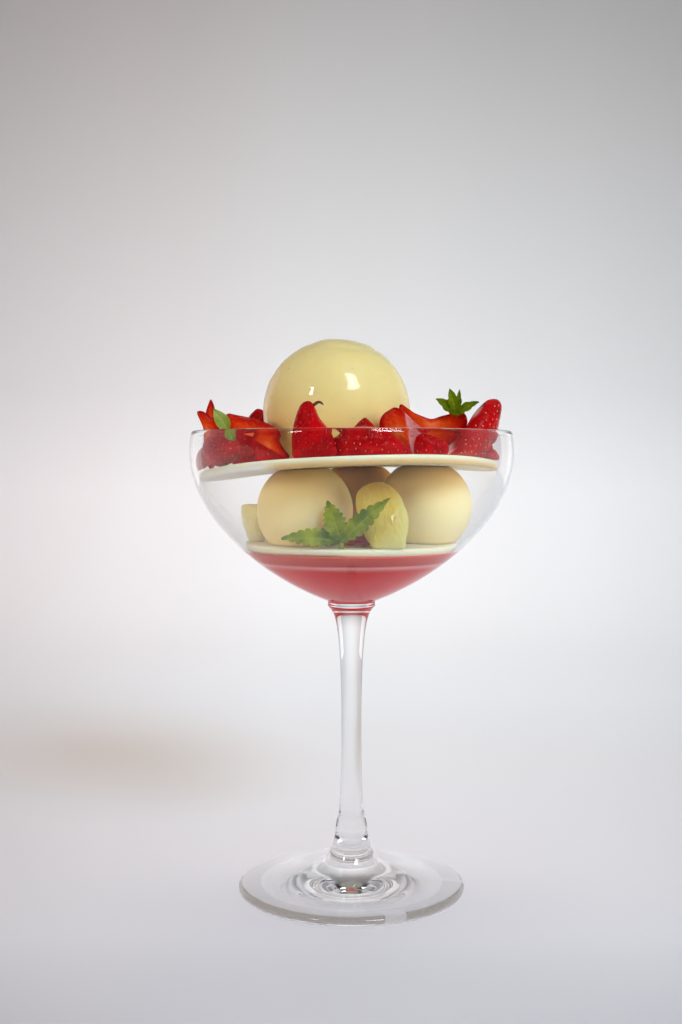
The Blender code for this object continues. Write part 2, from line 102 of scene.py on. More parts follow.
# Scoops: centre and radius
SMALL_SCOOPS = {
    "scoop_left": ((-16.5, -13, 139.9), 17),
    "scoop_right": ((26.4, -4, 141), 17),
    "scoop_back": ((2.7, 23.2, 140.6), 17.1),
}
TOP_SCOOP = ((-5.3, 0, 174.8), 27)
DROPS = 90


# ---- meshes


def add_object(name, data):
    made = bpy.data.objects.new(name, data)
    bpy.context.scene.collection.objects.link(made)
    return made


def add_mesh(name, points, faces, look):
    """A smooth mesh of one look, with points in metres."""
    mesh = bpy.data.meshes.new(name)
    mesh.from_pydata(points, [], faces)
    mesh.shade_smooth()
    mesh.materials.append(look.material)
    return add_object(name, mesh)


def add_piece(name, slot, points, faces, look, marks=None, replaces=()):
    """A piece with points in millimetres. marks are named numbers, one for each point or face."""
    piece = add_mesh(name, [[c * MM for c in p] for p in points], faces, look)
    for key, values in (marks or {}).items():
        domain = "POINT" if len(values) == len(points) else "FACE"
        piece.data.attributes.new(key, "FLOAT", domain).data.foreach_set("value", values)
    bm = bmesh.new()
    bm.from_mesh(piece.data)
    bmesh.ops.recalc_face_normals(bm, faces=bm.faces)
    bm.to_mesh(piece.data)
    bm.free()
    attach(piece, BODY)
    if replaces:
        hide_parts(*replaces)


def stand_for(node, *what):
    """The piece that takes the place of a CAD node. what is what add_piece needs after its name."""
    add_piece(node + "_look", *what, replaces=[node])


def joined(rings):
    """Faces between each ring of indices and the next, with a fan at a ring of one point."""
    faces = []
    for low, high in zip(rings, rings[1:]):
        count = max(len(low), len(high))
        for i in range(count):
            j = (i + 1) % count
            corners = [low[i % len(low)], low[j % len(low)], high[j % len(high)], high[i % len(high)]]
            faces.append(list(dict.fromkeys(corners)))
    return faces


def ring_of(points, count):
    """The indices that the next points of a list will have."""
    return range(len(points), len(points) + count)


def add_shape(points, faces, shape, shape_faces):
    """Adds a shape's points and faces to those of another."""
    first = len(points)
    points += shape
    faces += [[first + i for i in face] for face in shape_faces]


def turned(profile, sides):
    """Points and faces of a profile of (radius, height) turned round Z. A radius of 0 is one point."""
    points, rings = [], []
    for radius, height in profile:
        rings.append(ring_of(points, sides if radius else 1))
        for i in range(len(rings[-1])):
            angle = 2 * pi * i / sides
            points.append((radius * cos(angle), radius * sin(angle), height))
    return points, joined(rings)


def steps(start, end, count):
    return [start + (end - start) * i / (count - 1) for i in range(count)]


def arc(centre, radius, start, end, count):
    """Points (radius, height) of an arc from one angle to the other, in degrees."""
    angles = [radians(a) for a in steps(start, end, count)]
    return [(centre[0] + radius * cos(a), centre[1] + radius * sin(a)) for a in angles]


def ease(low, high, value):
    """0 below low, 1 above high, and a smooth rise between."""
    share = min(max((value - low) / (high - low), 0), 1)
    return share * share * (3 - 2 * share)


def direction(turn, rise):
    """A unit vector from its turn, 0 to the right and a quarter to the back, and its rise."""
    return Vector((cos(turn) * cos(rise), sin(turn) * cos(rise), sin(rise)))


# ---- material nodes


class Look:
    """A Principled material, with short calls for the nodes used here."""

    def __init__(self, name, colour, **settings):
        self.material = bpy.data.materials.new(name)
        self.material.use_nodes = True
        self.tree = self.material.node_tree
        self.shader = self.tree.nodes["Principled BSDF"]
        self.place = self.node("TexCoord").outputs["Object"]
        self.put(self.shader.inputs["Base Color"], colour)
        for socket, value in {"Subsurface_Scale": 1, **settings}.items():
            self.shader.inputs[socket.replace("_", " ")].default_value = value

    def put(self, socket, value):
        """Links an output to a socket, or sets the socket to a number or an (r, g, b)."""
        if isinstance(value, bpy.types.NodeSocket):
            self.tree.links.new(value, socket)
        else:
            socket.default_value = (*value, 1) if isinstance(value, tuple) else value

    def node(self, kind, inputs=None, **settings):
        made = self.tree.nodes.new("ShaderNode" + kind)
        for key, value in settings.items():
            setattr(made, key, value)
        for key, value in (inputs or {}).items():
            self.put(made.inputs[key], value)
        return made

    def mark(self, name):
        return self.node("Attribute", attribute_name=name).outputs["Fac"]

    def axes(self):
        return self.node("SeparateXYZ", {"Vector": self.place}).outputs

    def noise(self, scale, detail=3, roughness=0.5, distortion=0):
        inputs = {"Vector": self.place, "Scale": scale, "Detail": detail, "Roughness": roughness}
        return self.node("TexNoise", {**inputs, "Distortion": distortion}).outputs["Fac"]

    def ramp(self, value, *stops):
        """A colour ramp. A stop is a place and a grey or an (r, g, b)."""
        made = self.node("ValToRGB", {"Fac": value})
        elements = made.color_ramp.elements
        while len(elements) < len(stops):
            elements.new(0.5)
        for element, (place, colour) in zip(elements, stops):
            element.position = place
            element.color = (*(colour if isinstance(colour, tuple) else (colour,) * 3), 1)
        return made.outputs["Color"]

    def blend(self, share, first, second, mode="MIX"):
        inputs = {0: share, 6: first, 7: second}
        return self.node("Mix", inputs, data_type="RGBA", blend_type=mode).outputs[2]

    def times(self, first, second):
        return self.blend(1, first, second, "MULTIPLY")

    def maths(self, operation, *values):
        return self.node("Math", dict(enumerate(values)), operation=operation).outputs[0]

    def bump(self, height, distance, **under):
        """A bump of full strength. Normal, where given, is the bump under it."""
        inputs = {"Height": height, "Distance": distance, "Strength": 1, **under}
        return self.node("Bump", inputs).outputs["Normal"]

    def use(self, **sockets):
        """Links outputs to the shader's sockets, named with _ for a space."""
        for socket, value in sockets.items():
            self.put(self.shader.inputs[socket.replace("_", " ")], value)
        return self


def glass_look():
    """Clear glass. Light on its way to what is inside passes straight through, slightly dimmed."""
    look = Look("clear_glass", (0.994, 1, 0.996), Roughness=0, IOR=1.5, Transmission_Weight=1)
    wet = look.ramp(look.axes()["Z"], (0.1, 0.5), (0.106, 0.25), (0.12, 0.25), (0.126, 0.5))
    look.use(Specular_IOR_Level=wet, Normal=look.bump(look.noise(55, 1), 0.00006))
    rays = look.node("LightPath").outputs
    path = look.maths("MAXIMUM", rays["Is Shadow Ray"], rays["Is Diffuse Ray"])
    clear = look.node("BsdfTransparent", {"Color": (0.97, 0.97, 0.97)}).outputs[0]
    mix = look.node("MixShader", {0: path, 1: look.shader.outputs[0], 2: clear})
    look.put(look.tree.nodes["Material Output"].inputs["Surface"], mix.outputs[0])
    return look


def sauce_look():
    look = Look(
        "strawberry_sauce", (0.55, 0.02, 0.03), Roughness=0.35, Specular_IOR_Level=0,
        Subsurface_Weight=0.2, Subsurface_Radius=(0.006, 0.0012, 0.001),
    )
    cloud = look.noise(70, 4, 0.6)
    fine = look.noise(900, 2, 0.6)
    # Colour by height: pinker at the bottom, a painted reflection of the glass there; deep red higher up,
    # darkest just below the surface; a pale pink band at the surface, a painted highlight on the meniscus
    # and a painted reflection of the lower disc over the top; above it the film on the wall, paler as it
    # climbs.
    colour = look.ramp(
        look.maths("MULTIPLY", look.axes()["Z"], 5), (0.53, (0.75, 0.05, 0.06)),
        (0.565, (0.77, 0.008, 0.013)), (0.601, (0.72, 0.003, 0.006)), (0.6025, (0.95, 0.4, 0.38)),
        (0.6055, (0.95, 0.4, 0.38)), (0.607, (0.58, 0.05, 0.05)), (0.622, (0.7, 0.13, 0.1)),
    )
    colour = look.blend(look.ramp(cloud, (0.35, 0), (0.75, 0.3)), colour, (0.5, 0.005, 0.012))
    colour = look.blend(look.ramp(fine, (0.55, 0), (0.8, 0.15)), colour, (0.6, 0.02, 0.02))
    return look.use(Base_Color=colour, Normal=look.bump(fine, 0.00005))


def wafer_look():
    """The discs, warmer below the scoops. Marks: low is painted shade on the lower half of the upper disc's
    edge, and a second mark is painted light that makes the underside paler at the left end.
    """
    look = Look(
        "white_chocolate", (0.9, 0.83, 0.62), Roughness=0.42,
        Subsurface_Weight=0.7, Subsurface_Radius=(0.008, 0.0055, 0.0028),
    )
    broad = look.noise(45, 4, 0.6)
    fine = look.noise(1400, 3, 0.7)
    colour = look.ramp(broad, (0.3, (0.93, 0.81, 0.54)), (0.7, (0.97, 0.88, 0.65)))
    warm = look.ramp(look.axes()["Z"], (0.13, (1, 0.95, 0.85)), (0.15, 1))
    # Painted shade: the low mark turns the lower half of the edge ochre.
    colour = look.blend(look.mark("low"), look.times(colour, warm), (0.72, 0.44, 0.17))
    # Painted light: the next mark makes the underside paler at the left end.
    colour = look.blend(look.mark("bare"), colour, (1, 0.94, 0.85))
    return look.use(
        Base_Color=colour, Roughness=look.ramp(broad, (0.3, 0.36), (0.7, 0.5)),
        Normal=look.bump(fine, 0.00003, Normal=look.bump(broad, 0.0003)),
    )


def ice_look(name, gloss, pale, deep, *tints):
    """Smooth ice cream. Tints are (height in metres, colour) and colour it from the bottom up."""
    look = Look(
        name, pale, Roughness=0.45, Specular_IOR_Level=0.3 if gloss else 0.1,
        Subsurface_Weight=0.6, Subsurface_Radius=(0.006, 0.0045, 0.0022),
        Coat_Weight=gloss, Coat_Roughness=0.03,
    )
    broad = look.noise(45, distortion=0.4)
    colour = look.blend(look.ramp(broad, (0.3, 0), (0.7, 1)), deep, pale)
    colour = look.times(colour, look.ramp(look.axes()["Z"], *tints))
    return look.use(Base_Color=colour, Normal=look.bump(broad, 0.0001))


def berry_look():
    """Seeded red skin, and cut flesh that pales from the skin to the middle."""
    look = Look(
        "strawberry_flesh", (0.5, 0.01, 0.01), Roughness=0.3, Specular_IOR_Level=0.06,
        Subsurface_Weight=0.2, Subsurface_Radius=(0.004, 0.0006, 0.0003),
        Coat_Weight=0.15, Coat_IOR=1.25, Coat_Roughness=0.05,
    )
    pores = look.node("TexVoronoi", {"Vector": look.place, "Scale": 900}).outputs["Distance"]
    streaks = look.noise(420, 3, 0.7)
    skin = look.ramp(look.noise(120, 3, 0.6), (0.32, (0.28, 0, 0.002)), (0.68, (0.57, 0.001, 0.003)))
    # Painted shade: the skin darker in the seed dimples.
    skin = look.blend(look.ramp(look.mark("dimple"), (0.2, 0), (1, 0.6)), skin, (0.15, 0, 0.003))
    skin = look.blend(look.ramp(pores, (0.1, 0.35), (0.5, 0)), skin, (0.6, 0.025, 0.02))
    flesh = look.ramp(
        look.mark("rim"), (0, (0.82, 0.17, 0.05)), (0.3, (0.72, 0.065, 0.007)),
        (0.6, (0.62, 0.028, 0.002)), (0.84, (0.46, 0.006, 0.002)), (1, (0.26, 0, 0.003)),
    )
    flesh = look.blend(look.ramp(streaks, (0.5, 0), (0.8, 0.3)), flesh, (0.9, 0.16, 0.05))
    colour = look.blend(look.mark("cut"), skin, flesh)
    # The pale mark lays pink over the front beyond a seam: a painted sheen on the skin of 04, a paler pink
    # on the cut face of 07.
    return look.use(
        Base_Color=look.blend(look.mark("pale"), colour, (0.8, 0.4, 0.36)),
        Roughness=look.ramp(look.noise(300, 2), (0.3, 0.14), (0.7, 0.34)),
        Normal=look.bump(pores, 0.00012, Normal=look.bump(streaks, 0.00025)),
    )


def seed_look():
    look = Look("strawberry_seed", (0.8, 0.5, 0.15), Roughness=0.35, Coat_Weight=0.3)
    stops = (0, (0.45, 0.015, 0.01)), (0.45, (0.6, 0.09, 0.03)), (1, (0.85, 0.42, 0.14))
    return look.use(Base_Color=look.ramp(look.mark("tone"), *stops))


def citrus_look(name, clear, deep, pale):
    """Pulp that lets light through, paler towards the rind."""
    look = Look(
        name, pale, Roughness=0.25, Transmission_Weight=clear, IOR=1.2,
        Subsurface_Weight=0.5, Subsurface_Radius=(0.008, 0.007, 0.003), Coat_Weight=0.5,
    )
    pulp = look.noise(260, 3, 0.6)
    colour = look.blend(look.ramp(pulp, (0.3, 0), (0.7, 0.25)), deep, pale)
    colour = look.blend(look.ramp(look.mark("cell"), (0.3, 0.35), (0.6, 0)), colour, pale)
    colour = look.blend(look.ramp(look.mark("rim"), (0.35, 0), (0.9, 0.9)), colour, pale)
    # Painted shade: darker and warmer towards the top, under the upper disc.
    shade = look.ramp(look.axes()["Z"], (0.143, 1), (0.153, (0.88, 0.74, 0.55)))
    return look.use(Base_Color=look.times(colour, shade), Normal=look.bump(pulp, 0.0002))


def leaf_look(name, dark, light, rib):
    look = Look(
        name, dark, Roughness=0.6, Specular_IOR_Level=0.03,
        Subsurface_Weight=0.15, Subsurface_Radius=(0.001, 0.002, 0.0006),
    )
    colour = look.ramp(look.noise(130, 3, 0.55), (0.36, dark), (0.64, light))
    colour = look.blend(look.ramp(look.mark("vein"), (0, 0), (1, 0.5)), colour, rib)
    return look.use(Base_Color=colour, Normal=look.bump(look.noise(2200, 3, 0.7), 0.00006))


# ---- glass


def bowl_radius(height):
    """Outer radius of the bowl at a height."""
    if height > BOWL_WIDEST:
        share = (height - BOWL_WIDEST) / (GLASS_HEIGHT - BOWL_WIDEST)
        return BOWL_RADIUS + (RIM_RADIUS - BOWL_RADIUS) * share**2
    depth = (BOWL_WIDEST - height) / BOWL_DEPTH
    return BOWL_RADIUS * (1 - min(depth, 1) ** BOWL_POWERS[0]) ** BOWL_POWERS[1]


def stem_radius(height):
    """Outer radius of the stem, with its flares into the bowl and the foot."""
    upper = sum(s * exp((height - STEM_TOP_HEIGHT) / reach) for s, reach in STEM_TOP_FLARES)
    lower = sum(s * exp((FOOT_NECK_HEIGHT - height) / reach) for s, reach in STEM_FOOT_FLARES)
    size, middle, spread = STEM_COLLAR
    collar = size * exp(-(((height - middle) / spread) ** 2))
    return STEM_RADIUS + upper + lower + collar


def foot_height(radius):
    """Height of the top of the foot at a radius."""
    share = (FOOT_RADIUS - radius) / (FOOT_RADIUS - FOOT_NECK_RADIUS)
    low = FOOT_EDGE_HEIGHT - FOOT_EDGE_LIP
    return low + (FOOT_NECK_HEIGHT - low) * max(share, 0) ** FOOT_CURVE


def inner_radius(height):
    """Inner radius of the bowl, one wall thickness inside the outer face."""
    slope = bowl_radius(height + 0.5) - bowl_radius(height - 0.5)
    return bowl_radius(height) - WALL * sqrt(1 + slope**2)


def floor_curve(start, wall_steps, floor_steps):
    """Inner face of the bowl from a height down to the middle of its floor, as (radius, height)."""
    curve = [(inner_radius(h), h) for h in steps(start, BOWL_FLOOR_TOP, wall_steps)]
    radius, height = curve[-1]
    rise = height - BOWL_FLOOR_HEIGHT
    for share in steps(1, 0, floor_steps)[1:]:
        curve.append((radius * share, BOWL_FLOOR_HEIGHT + rise * share**2))
    return curve


def foot_profile():
    """Hollow underside, standing ring, rounded edge and top face of the foot."""
    hollow = [(FOOT_HOLLOW_RADIUS * s, FOOT_HOLLOW_DEPTH * (1 - s**3)) for s in steps(0, 1, 24)]
    edge = 0.5 * (FOOT_EDGE_HEIGHT - FOOT_EDGE_LIP)
    rounded = arc((FOOT_RADIUS - edge, edge), edge, -90, 80, 15)
    top = [(r, foot_height(r)) for r in steps(FOOT_RADIUS - 2.2, FOOT_NECK_RADIUS, 24)]
    return hollow + rounded + top


def pad_radius(height):
    """Outer radius at the bowl's bottom, where the bowl grows out of the stem."""
    return max(bowl_radius(height), stem_radius(PAD_BOTTOM))


def make_glass():
    half = 0.5 * WALL
    profile = foot_profile()
    for radius_at, low, high, count in (
        (stem_radius, STEM_BOTTOM, 34, 40),
        (stem_radius, 38, 84, 12),
        (stem_radius, 88, 103.8, 18),
        (pad_radius, PAD_BOTTOM, 107, 6),
        (bowl_radius, 107.6, 116, 16),
        (bowl_radius, 117, GLASS_HEIGHT - half, 44),
    ):
        profile += [(radius_at(h), h) for h in steps(low, high, count)]
    profile += arc((RIM_RADIUS - half, GLASS_HEIGHT - half), half, 10, 170, 17)
    profile += floor_curve(GLASS_HEIGHT - 0.8, 56, 14)
    stand_for("glass", "clear_glass", *turned(profile, GLASS_SIDES), glass_look())


# ---- sauce and discs


def make_sauce():
    """The sauce, which reaches just into the wall and leaves a thin film on it up to the disc."""
    wall = floor_curve(SAUCE_HEIGHT + SAUCE_CLIMB, 24, 12)
    wall = [(r + SAUCE_REACH if r else 0, h - SAUCE_REACH) for r, h in wall]
    film = [SAUCE_HEIGHT + h for h in steps(SAUCE_CLIMB, FILLET, 8)]
    top = [(inner_radius(h) - 0.3, h) for h in film]
    edge = top[-1][0]
    for d in (0.3, 0.7, 1.2, 2, 3.2, 5, 10):
        top.append((edge - d, SAUCE_HEIGHT + FILLET * exp(-d / 0.7)))
    profile = [(0, SAUCE_HEIGHT)] + top[::-1] + wall
    stand_for("sauce", "strawberry_sauce", *turned(profile, 96), sauce_look())


def plate_top(x, y):
    """Height of the upper disc's top face, which tilts to the left and sags at both sides."""
    u = (x - UPPER_CENTRE_X) / UPPER_RADIUS
    v = y / UPPER_RADIUS
    tilt = UPPER_SIDE_TILT * u - UPPER_BACK_DROP * v
    return UPPER_HEIGHT + tilt - UPPER_SAG * abs(u) ** 2.3 - UPPER_TWIST * u * u * v


def uneven(x, y, z, size, scale):
    """A smooth random number from -size to size that changes over a distance of about scale."""
    return size * noise(Vector((x, y, z)) / scale)


def make_lower_disc(look):
    """A disc with a bevelled edge. Its underside steps up a little at the left of the front."""
    low, high, edge = LOWER_BOTTOM, LOWER_TOP, LOWER_RADIUS
    profile = [(s * (LOWER_FOOT_RADIUS - 0.3), low) for s in steps(0, 1, 8)]
    profile += [(LOWER_FOOT_RADIUS, low + 0.15), (edge - 1.2, low + 1), (edge - 0.35, low + 1.9)]
    profile += arc((edge - 0.75, high - 0.75), 0.75, 0, 90, 6)
    profile += [(s * (edge - 0.8), high) for s in steps(0.97, 0, 8)]
    points, faces = turned(profile, 128)
    placed = []
    for x, y, z in points:
        reach = hypot(x, y)
        rough = uneven(x, y, z, 0.25, 5) * ease(30, 38, reach)
        grow = 1 + rough / max(reach, 1)
        chip = 0.9 * ease(1.5, -1.5, x + 3) * ease(0, 10, -y) * ease(high - 1.5, low, z)
        placed.append((x * grow, y * grow, z + chip + 0.1 * rough))
    stand_for("lower_disc", "white_chocolate", placed, faces, look)


def make_upper_disc(look):
    """A thin disc with a rounded edge, bent a little as it lies on the scoops."""
    edge, thick, bend = UPPER_RADIUS, UPPER_THICKNESS, 0.9
    flat = edge - bend
    profile = [(s * flat, 0) for s in steps(0, 1, 16)]
    profile += arc((flat, bend), bend, -70, 0, 5) + arc((flat, thick - bend), bend, 0, 90, 6)
    profile += [(s * flat, thick) for s in steps(0.96, 0, 16)]
    points, faces = turned(profile, 180)
    placed, low, bare = [], [], []
    for x, y, z in points:
        reach = hypot(x, y)
        under = ease(0.85 * thick, 0.3 * thick, z)
        # Painted shade on the lower half of the edge, except at the left end.
        low.append(0.9 * under * ease(edge - 1.6, edge - 0.5, reach) * ease(-40, -24, x))
        # Painted light: the underside paler at the left end.
        bare.append(under * ease(-22, -30, x))
        rough = uneven(x, y, 0, 0.22, 7) * ease(44, 54, reach)
        grow = 1 + (rough - 0.1) / max(reach, 1)
        x = x * grow + UPPER_CENTRE_X
        y = y * grow
        placed.append((x, y, z + plate_top(x, y) - thick))
    stand_for("upper_disc", "white_chocolate", placed, faces, look, {"low": low, "bare": bare})


# ---- scoops


def ball(radius, sides, rings):
    """A ball whose poles are one point each."""
    middle = [pi * i / rings for i in range(1, rings)]
    profile = [(radius * sin(a), -radius * cos(a)) for a in middle]
    return turned([(0, -radius), *profile, (0, radius)], sides)


def soft_floor(height, floor, reach):
    """A height kept above a floor, rounding off within reach of it."""
    over = height - floor
    if over > reach:
        return height
    if over < -reach:
        return floor
    return floor + (over + reach) ** 2 / (4 * reach)


def make_small_scoops(look, back_look):
    for name, (centre, radius) in SMALL_SCOOPS.items():
        points, faces = ball(radius, 96, 72)
        placed = []
        for x, y, z in points:
            out = 1 + uneven(x + centre[0], y, z, 0.25, 14) / radius
            x = x * out + centre[0]
            y = y * out + centre[1]
            z = soft_floor(z * out + centre[2], LOWER_TOP + TOUCH, 0.8)
            roof = plate_top(x, y) - UPPER_THICKNESS - TOUCH
            placed.append((x, y, roof - soft_floor(roof - z, 0, 0.8)))
        # The back scoop takes the darker, more orange look: painted shade.
        shade = back_look if name == "scoop_back" else look
        stand_for(name, "white_ice_cream", placed, faces, shade)


def top_scoop_out(way):
    """How far the large scoop stands out of a ball in a direction: dents, pits and a scoop's mark."""
    x, y, z = way
    low = 0.3 * noise(Vector(way) * 1.6)
    ripple = 0.1 * noise(Vector((x * 3, y * 3, z * 6)))
    grain = 0.05 * noise(Vector(way) * 14)
    tilt = acos(max(-1, min(1, 0.12 * x - 0.1 * y + 0.987 * z)))
    lip = -0.3 * exp(-(((tilt - 0.46) / 0.09) ** 2)) - 0.25 * ease(0.46, 0.1, tilt)
    return low + ripple + grain + lip


def make_top_scoop(look):
    centre, radius = TOP_SCOOP
    points, faces = ball(radius, 200, 140)
    placed = []
    for x, y, z in points:
        out = 1 + (top_scoop_out((x / radius, y / radius, z / radius)) - 0.2) / radius
        x = x * out + centre[0]
        y = y * out + centre[1]
        placed.append((x, y, soft_floor(z * out + centre[2], plate_top(x, y) + 0.05, 1)))
    stand_for("scoop_top", "white_ice_cream", placed, faces, look)


def make_drops():
    """Small drops of melt on the large scoop."""
    look = Look("melt_drop", (0.8, 0.68, 0.3), Roughness=0.04, Coat_Weight=1, Coat_Roughness=0)
    centre, radius = TOP_SCOOP
    shape, shape_faces = ball(1, 10, 7)
    points, faces = [], []
    for _ in range(DROPS):
        turn = random.uniform(0, 2 * pi)
        away = direction(turn, asin(random.uniform(-0.2, 0.9)))
        size = random.uniform(0.2, 0.5)
        place = Vector(centre) + away * (radius + top_scoop_out(away) - 0.2)
        spin = away.to_track_quat("Z", "Y")
        drop = [place + spin @ Vector((p[0] * size, p[1] * size, p[2] * size * 0.4)) for p in shape]
        add_shape(points, faces, drop, shape_faces)
    add_piece("scoop_drops", "white_ice_cream", points, faces, look)


# ---- strawberries


def berry_radius(share):
    """Radius of a berry from its leafy end, 0, to its tip, 1, where 1 is the widest."""
    return sin(pi * share**0.58) ** 0.62 if 0 < share < 1 else 0


# The angles that the skin of each kind of piece runs between, in degrees
SKINS = {"whole": (0, 360), "half": (0, 180), "quarter": (30, 150)}
SKIN_STEPS = 56
CUT_STEPS = 18
BERRY_RINGS = 54
BERRY_HULL = 0.16  # share of the length that is cut off at the leafy end
SEED_SPACING = 2.7
SEED_JITTER = 0.6
DIMPLE_RADIUS = 0.7
DIMPLE_DEPTH = 0.32
SEED_SIZE = (0.37, 0.21, 0.15)
SEED_SINK = 0.72  # share of a dimple's depth that its seed lies at

# Strawberries by number: kind, length, radius, direction of the tip, direction of the skin
BERRIES = {
    "09": ("whole", 18, 5.8, (304, 0), (0, 90)),
    "14": ("half", 22, 7.6, (30, 0), (90, 60)),
    "15": ("quarter", 21, 8.5, (200, 8), (80, 40)),
    "16": ("half", 20, 8, (320, 6), (60, 50)),
    "17": ("half", 22, 7.4, (95, 0), (20, 60)),
    "18": ("quarter", 17, 7, (100, 4), (90, 90)),
    "19": ("quarter", 13, 6.5, (200, 0), (270, 70)),
    "21": ("quarter", 12.5, 6.8, (100, 0), (180, 30)),
    "22": ("half", 15, 6.4, (95, 0), (10, 55)),
}

# As in the CAD: a point of the cut plane (x, y), its turn round Z, how far the skin bulges to the
# front (or to the back if below 0), and the outline of the cut as (place along the plane, height)
SLICES = {
    "01": ((-12, -45), 4, 5, [
        (-2.5, 177), (-1, 176.5), (0, 175), (1.5, 171.5), (3.5, 169), (5.5, 166.5), (6.5, 163), (7, 159.5),
        (0.5, 158), (-6.5, 158), (-7.5, 162), (-7.5, 165.5), (-7, 169.5), (-6, 173), (-4.5, 176),
    ]),
    "02": ((6, -39.5), 2, 6, [
        (-13, 164.5), (-11, 165.5), (-8.5, 167.5), (-5.5, 168.5), (-2, 169), (2, 168.5), (6, 167), (9, 165),
        (12, 162.5), (14, 159.5), (10, 157.5), (-3, 157.5), (-12, 158), (-13, 161.5),
    ]),
    "03": ((5, -32.5), 0, 3.5, [
        (-0.5, 172), (1, 171), (2.5, 169.5), (3.5, 167.5), (4, 162.5), (0.5, 158), (-4, 160), (-5, 167),
        (-3.5, 169.5), (-2, 171),
    ]),
    "04": ((16, -29.5), -10, -6, [
        (-6.5, 167), (-6.5, 170.5), (-5.5, 173), (-3.5, 174.5), (-1.5, 175.5), (0.5, 175), (3, 173),
        (5.5, 170.5), (8, 168), (8, 165), (6, 162.5), (5.5, 158.5), (0, 157.5), (-4.5, 160), (-6.5, 164),
    ]),
    "05": ((28, -18.5), 6, -4.5, [
        (-11.5, 176), (-10.5, 177), (-9, 175.5), (-7, 174.5), (-3.5, 173), (0, 172), (3.5, 173), (7.5, 174),
        (10, 174.5), (12, 173.5), (12.5, 170), (9.5, 165), (5, 161), (-0.5, 158), (-6, 158), (-9, 164.5),
        (-11, 171),
    ]),
    "06": ((26.5, -38.5), 12, 3, [
        (-5, 165.5), (-2.5, 166.5), (1, 165.5), (4.5, 164), (6, 161.5), (4.5, 158.5), (-0.5, 157.5),
        (-5, 158), (-6, 162),
    ]),
    "07": ((42, -21.5), 42, 5.5, [
        (9.5, 179), (12, 179), (13.5, 177.5), (13, 174.5), (12, 171.5), (11, 167.5), (9.5, 163.5), (5, 162),
        (2, 157), (-8, 157), (-19, 158), (-14.5, 161), (-10, 164), (-6, 167), (-3, 169.5), (1, 174),
        (6.5, 178),
    ]),
    "08": ((48, -17), 35, 2.5, [
        (-1.5, 161), (1.5, 161.5), (3.5, 160), (4, 158), (1.5, 156), (-2, 156), (-3.5, 158.5), (-3, 160),
    ]),
    "10": ((-34.5, -18), -20, -4.5, [
        (-10.5, 172.5), (-9.5, 174), (-6.5, 173.5), (-1.5, 172.5), (4, 171), (8, 169), (10.5, 166),
        (7.5, 161), (2, 157), (-5, 155), (-9.5, 158.5), (-10.5, 166),
    ]),
    "11": ((-52, -2.5), -25, -2.5, [
        (-4.5, 174.5), (-3.5, 175.5), (-1.5, 175), (1, 173.5), (3.5, 171.5), (5, 167.5), (5.5, 160.5),
        (1, 154.5), (-1.5, 159.5), (-2, 166.5), (-2, 169.5),
    ]),
    "12": ((-51.5, 7), -12, -3.5, [
        (-0.5, 180), (0.5, 178), (1, 175), (2, 171.5), (3.5, 166.5), (2.5, 159.5), (-1, 154), (-3, 163),
        (-3, 170.5), (-2.5, 175), (-1.5, 178),
    ]),
    "13": ((-35.5, 18), -20, 4, [
        (-1.5, 176), (0, 177), (2, 176.5), (3.5, 174.5), (4, 169.5), (5, 163.5), (2, 155), (-3, 155),
        (-4.5, 165), (-4, 172), (-3, 174.5),
    ]),
    "20": ((-26.5, -37), -14, -3.5, [
        (-6, 166.5), (-3.5, 168), (-1, 167.5), (1, 166.5), (2.5, 164), (4, 161.5), (6, 158.5), (2.5, 157),
        (-2.5, 156), (-5.5, 158.5), (-7, 163.5),
    ]),
}

# Where a slice's front changes between skin and cut: two places of a line, and how much the
# surface to the right of the way along it falls back for each millimetre
SEAMS = {
    "04": ((4.5, 157.5), (1.5, 176.5), -0.5),
    "07": ((8, 179.5), (-18, 157), -0.6),
    "10": ((-12, 169), (12, 163), 0.35),
    "20": ((-9.2, 166.3), (5.4, 158.3), 0.3),
}
# How pale the seeds of a slice are, where it isn't 0.3
SEED_TONES = {"01": 0, "02": 0.5, "07": 0.8}
# How pale the front of a slice is beyond its seam: a painted sheen over the skin of 04, a paler pink over
# the cut face of 07
PALE_AND_SHEEN = {"04": 0.5, "07": 0.8}
STUB = (
    (-12.9, -46, 175.2), (-12, -46.2, 175.9), (-11.2, -46.3, 176.5), (-10.4, -46.3, 176.6),
    (-9.7, -46.3, 176.2), (-9.2, -46.3, 175.6),
)
STUB_RADII = (0.5, 0.55, 0.5, 0.45, 0.35, 0.12)
SLICE_RINGS = 34
CURVE_STEPS = 8


def aimed(tip, skin):
    """Rotation that turns +X to the direction tip and +Z towards the direction skin.

    A direction is (turn, rise) in degrees: turn 0 is right, 90 is back, 270 is front.
    """
    along, up = (direction(*map(radians, pair)) for pair in (tip, skin))
    side = up.cross(along).normalized()
    up = along.cross(side).normalized()
    return Matrix((along, side, up)).transposed()


def dimple_depth(aways):
    """How deep the skin dips, 0 to 1, at these squared distances from seeds."""
    near = (away for away in aways if away < 4 * DIMPLE_RADIUS**2)
    return max((exp(-away / (0.6 * DIMPLE_RADIUS**2)) for away in near), default=0)


def berry_outline(kind):
    """Unit outline of a piece's cross-section: points (y, z) and whether the edge after each is cut."""
    start, end = map(radians, SKINS[kind])
    if kind == "whole":
        return [(cos(a), sin(a), 0) for a in steps(start, end, 2 * SKIN_STEPS + 1)[:-1]]
    outline = [(cos(a), sin(a), 0) for a in steps(start, end, SKIN_STEPS + 1)]
    outline[-1] = last = (*outline[-1][:2], 1)
    for a, b in ((last, (0, 0)), ((0, 0), outline[0])):
        for i in range(1, CUT_STEPS + 1):
            share = i / CUT_STEPS
            outline.append((a[0] + (b[0] - a[0]) * share, a[1] + (b[1] - a[1]) * share, 1))
    return outline[:-1]


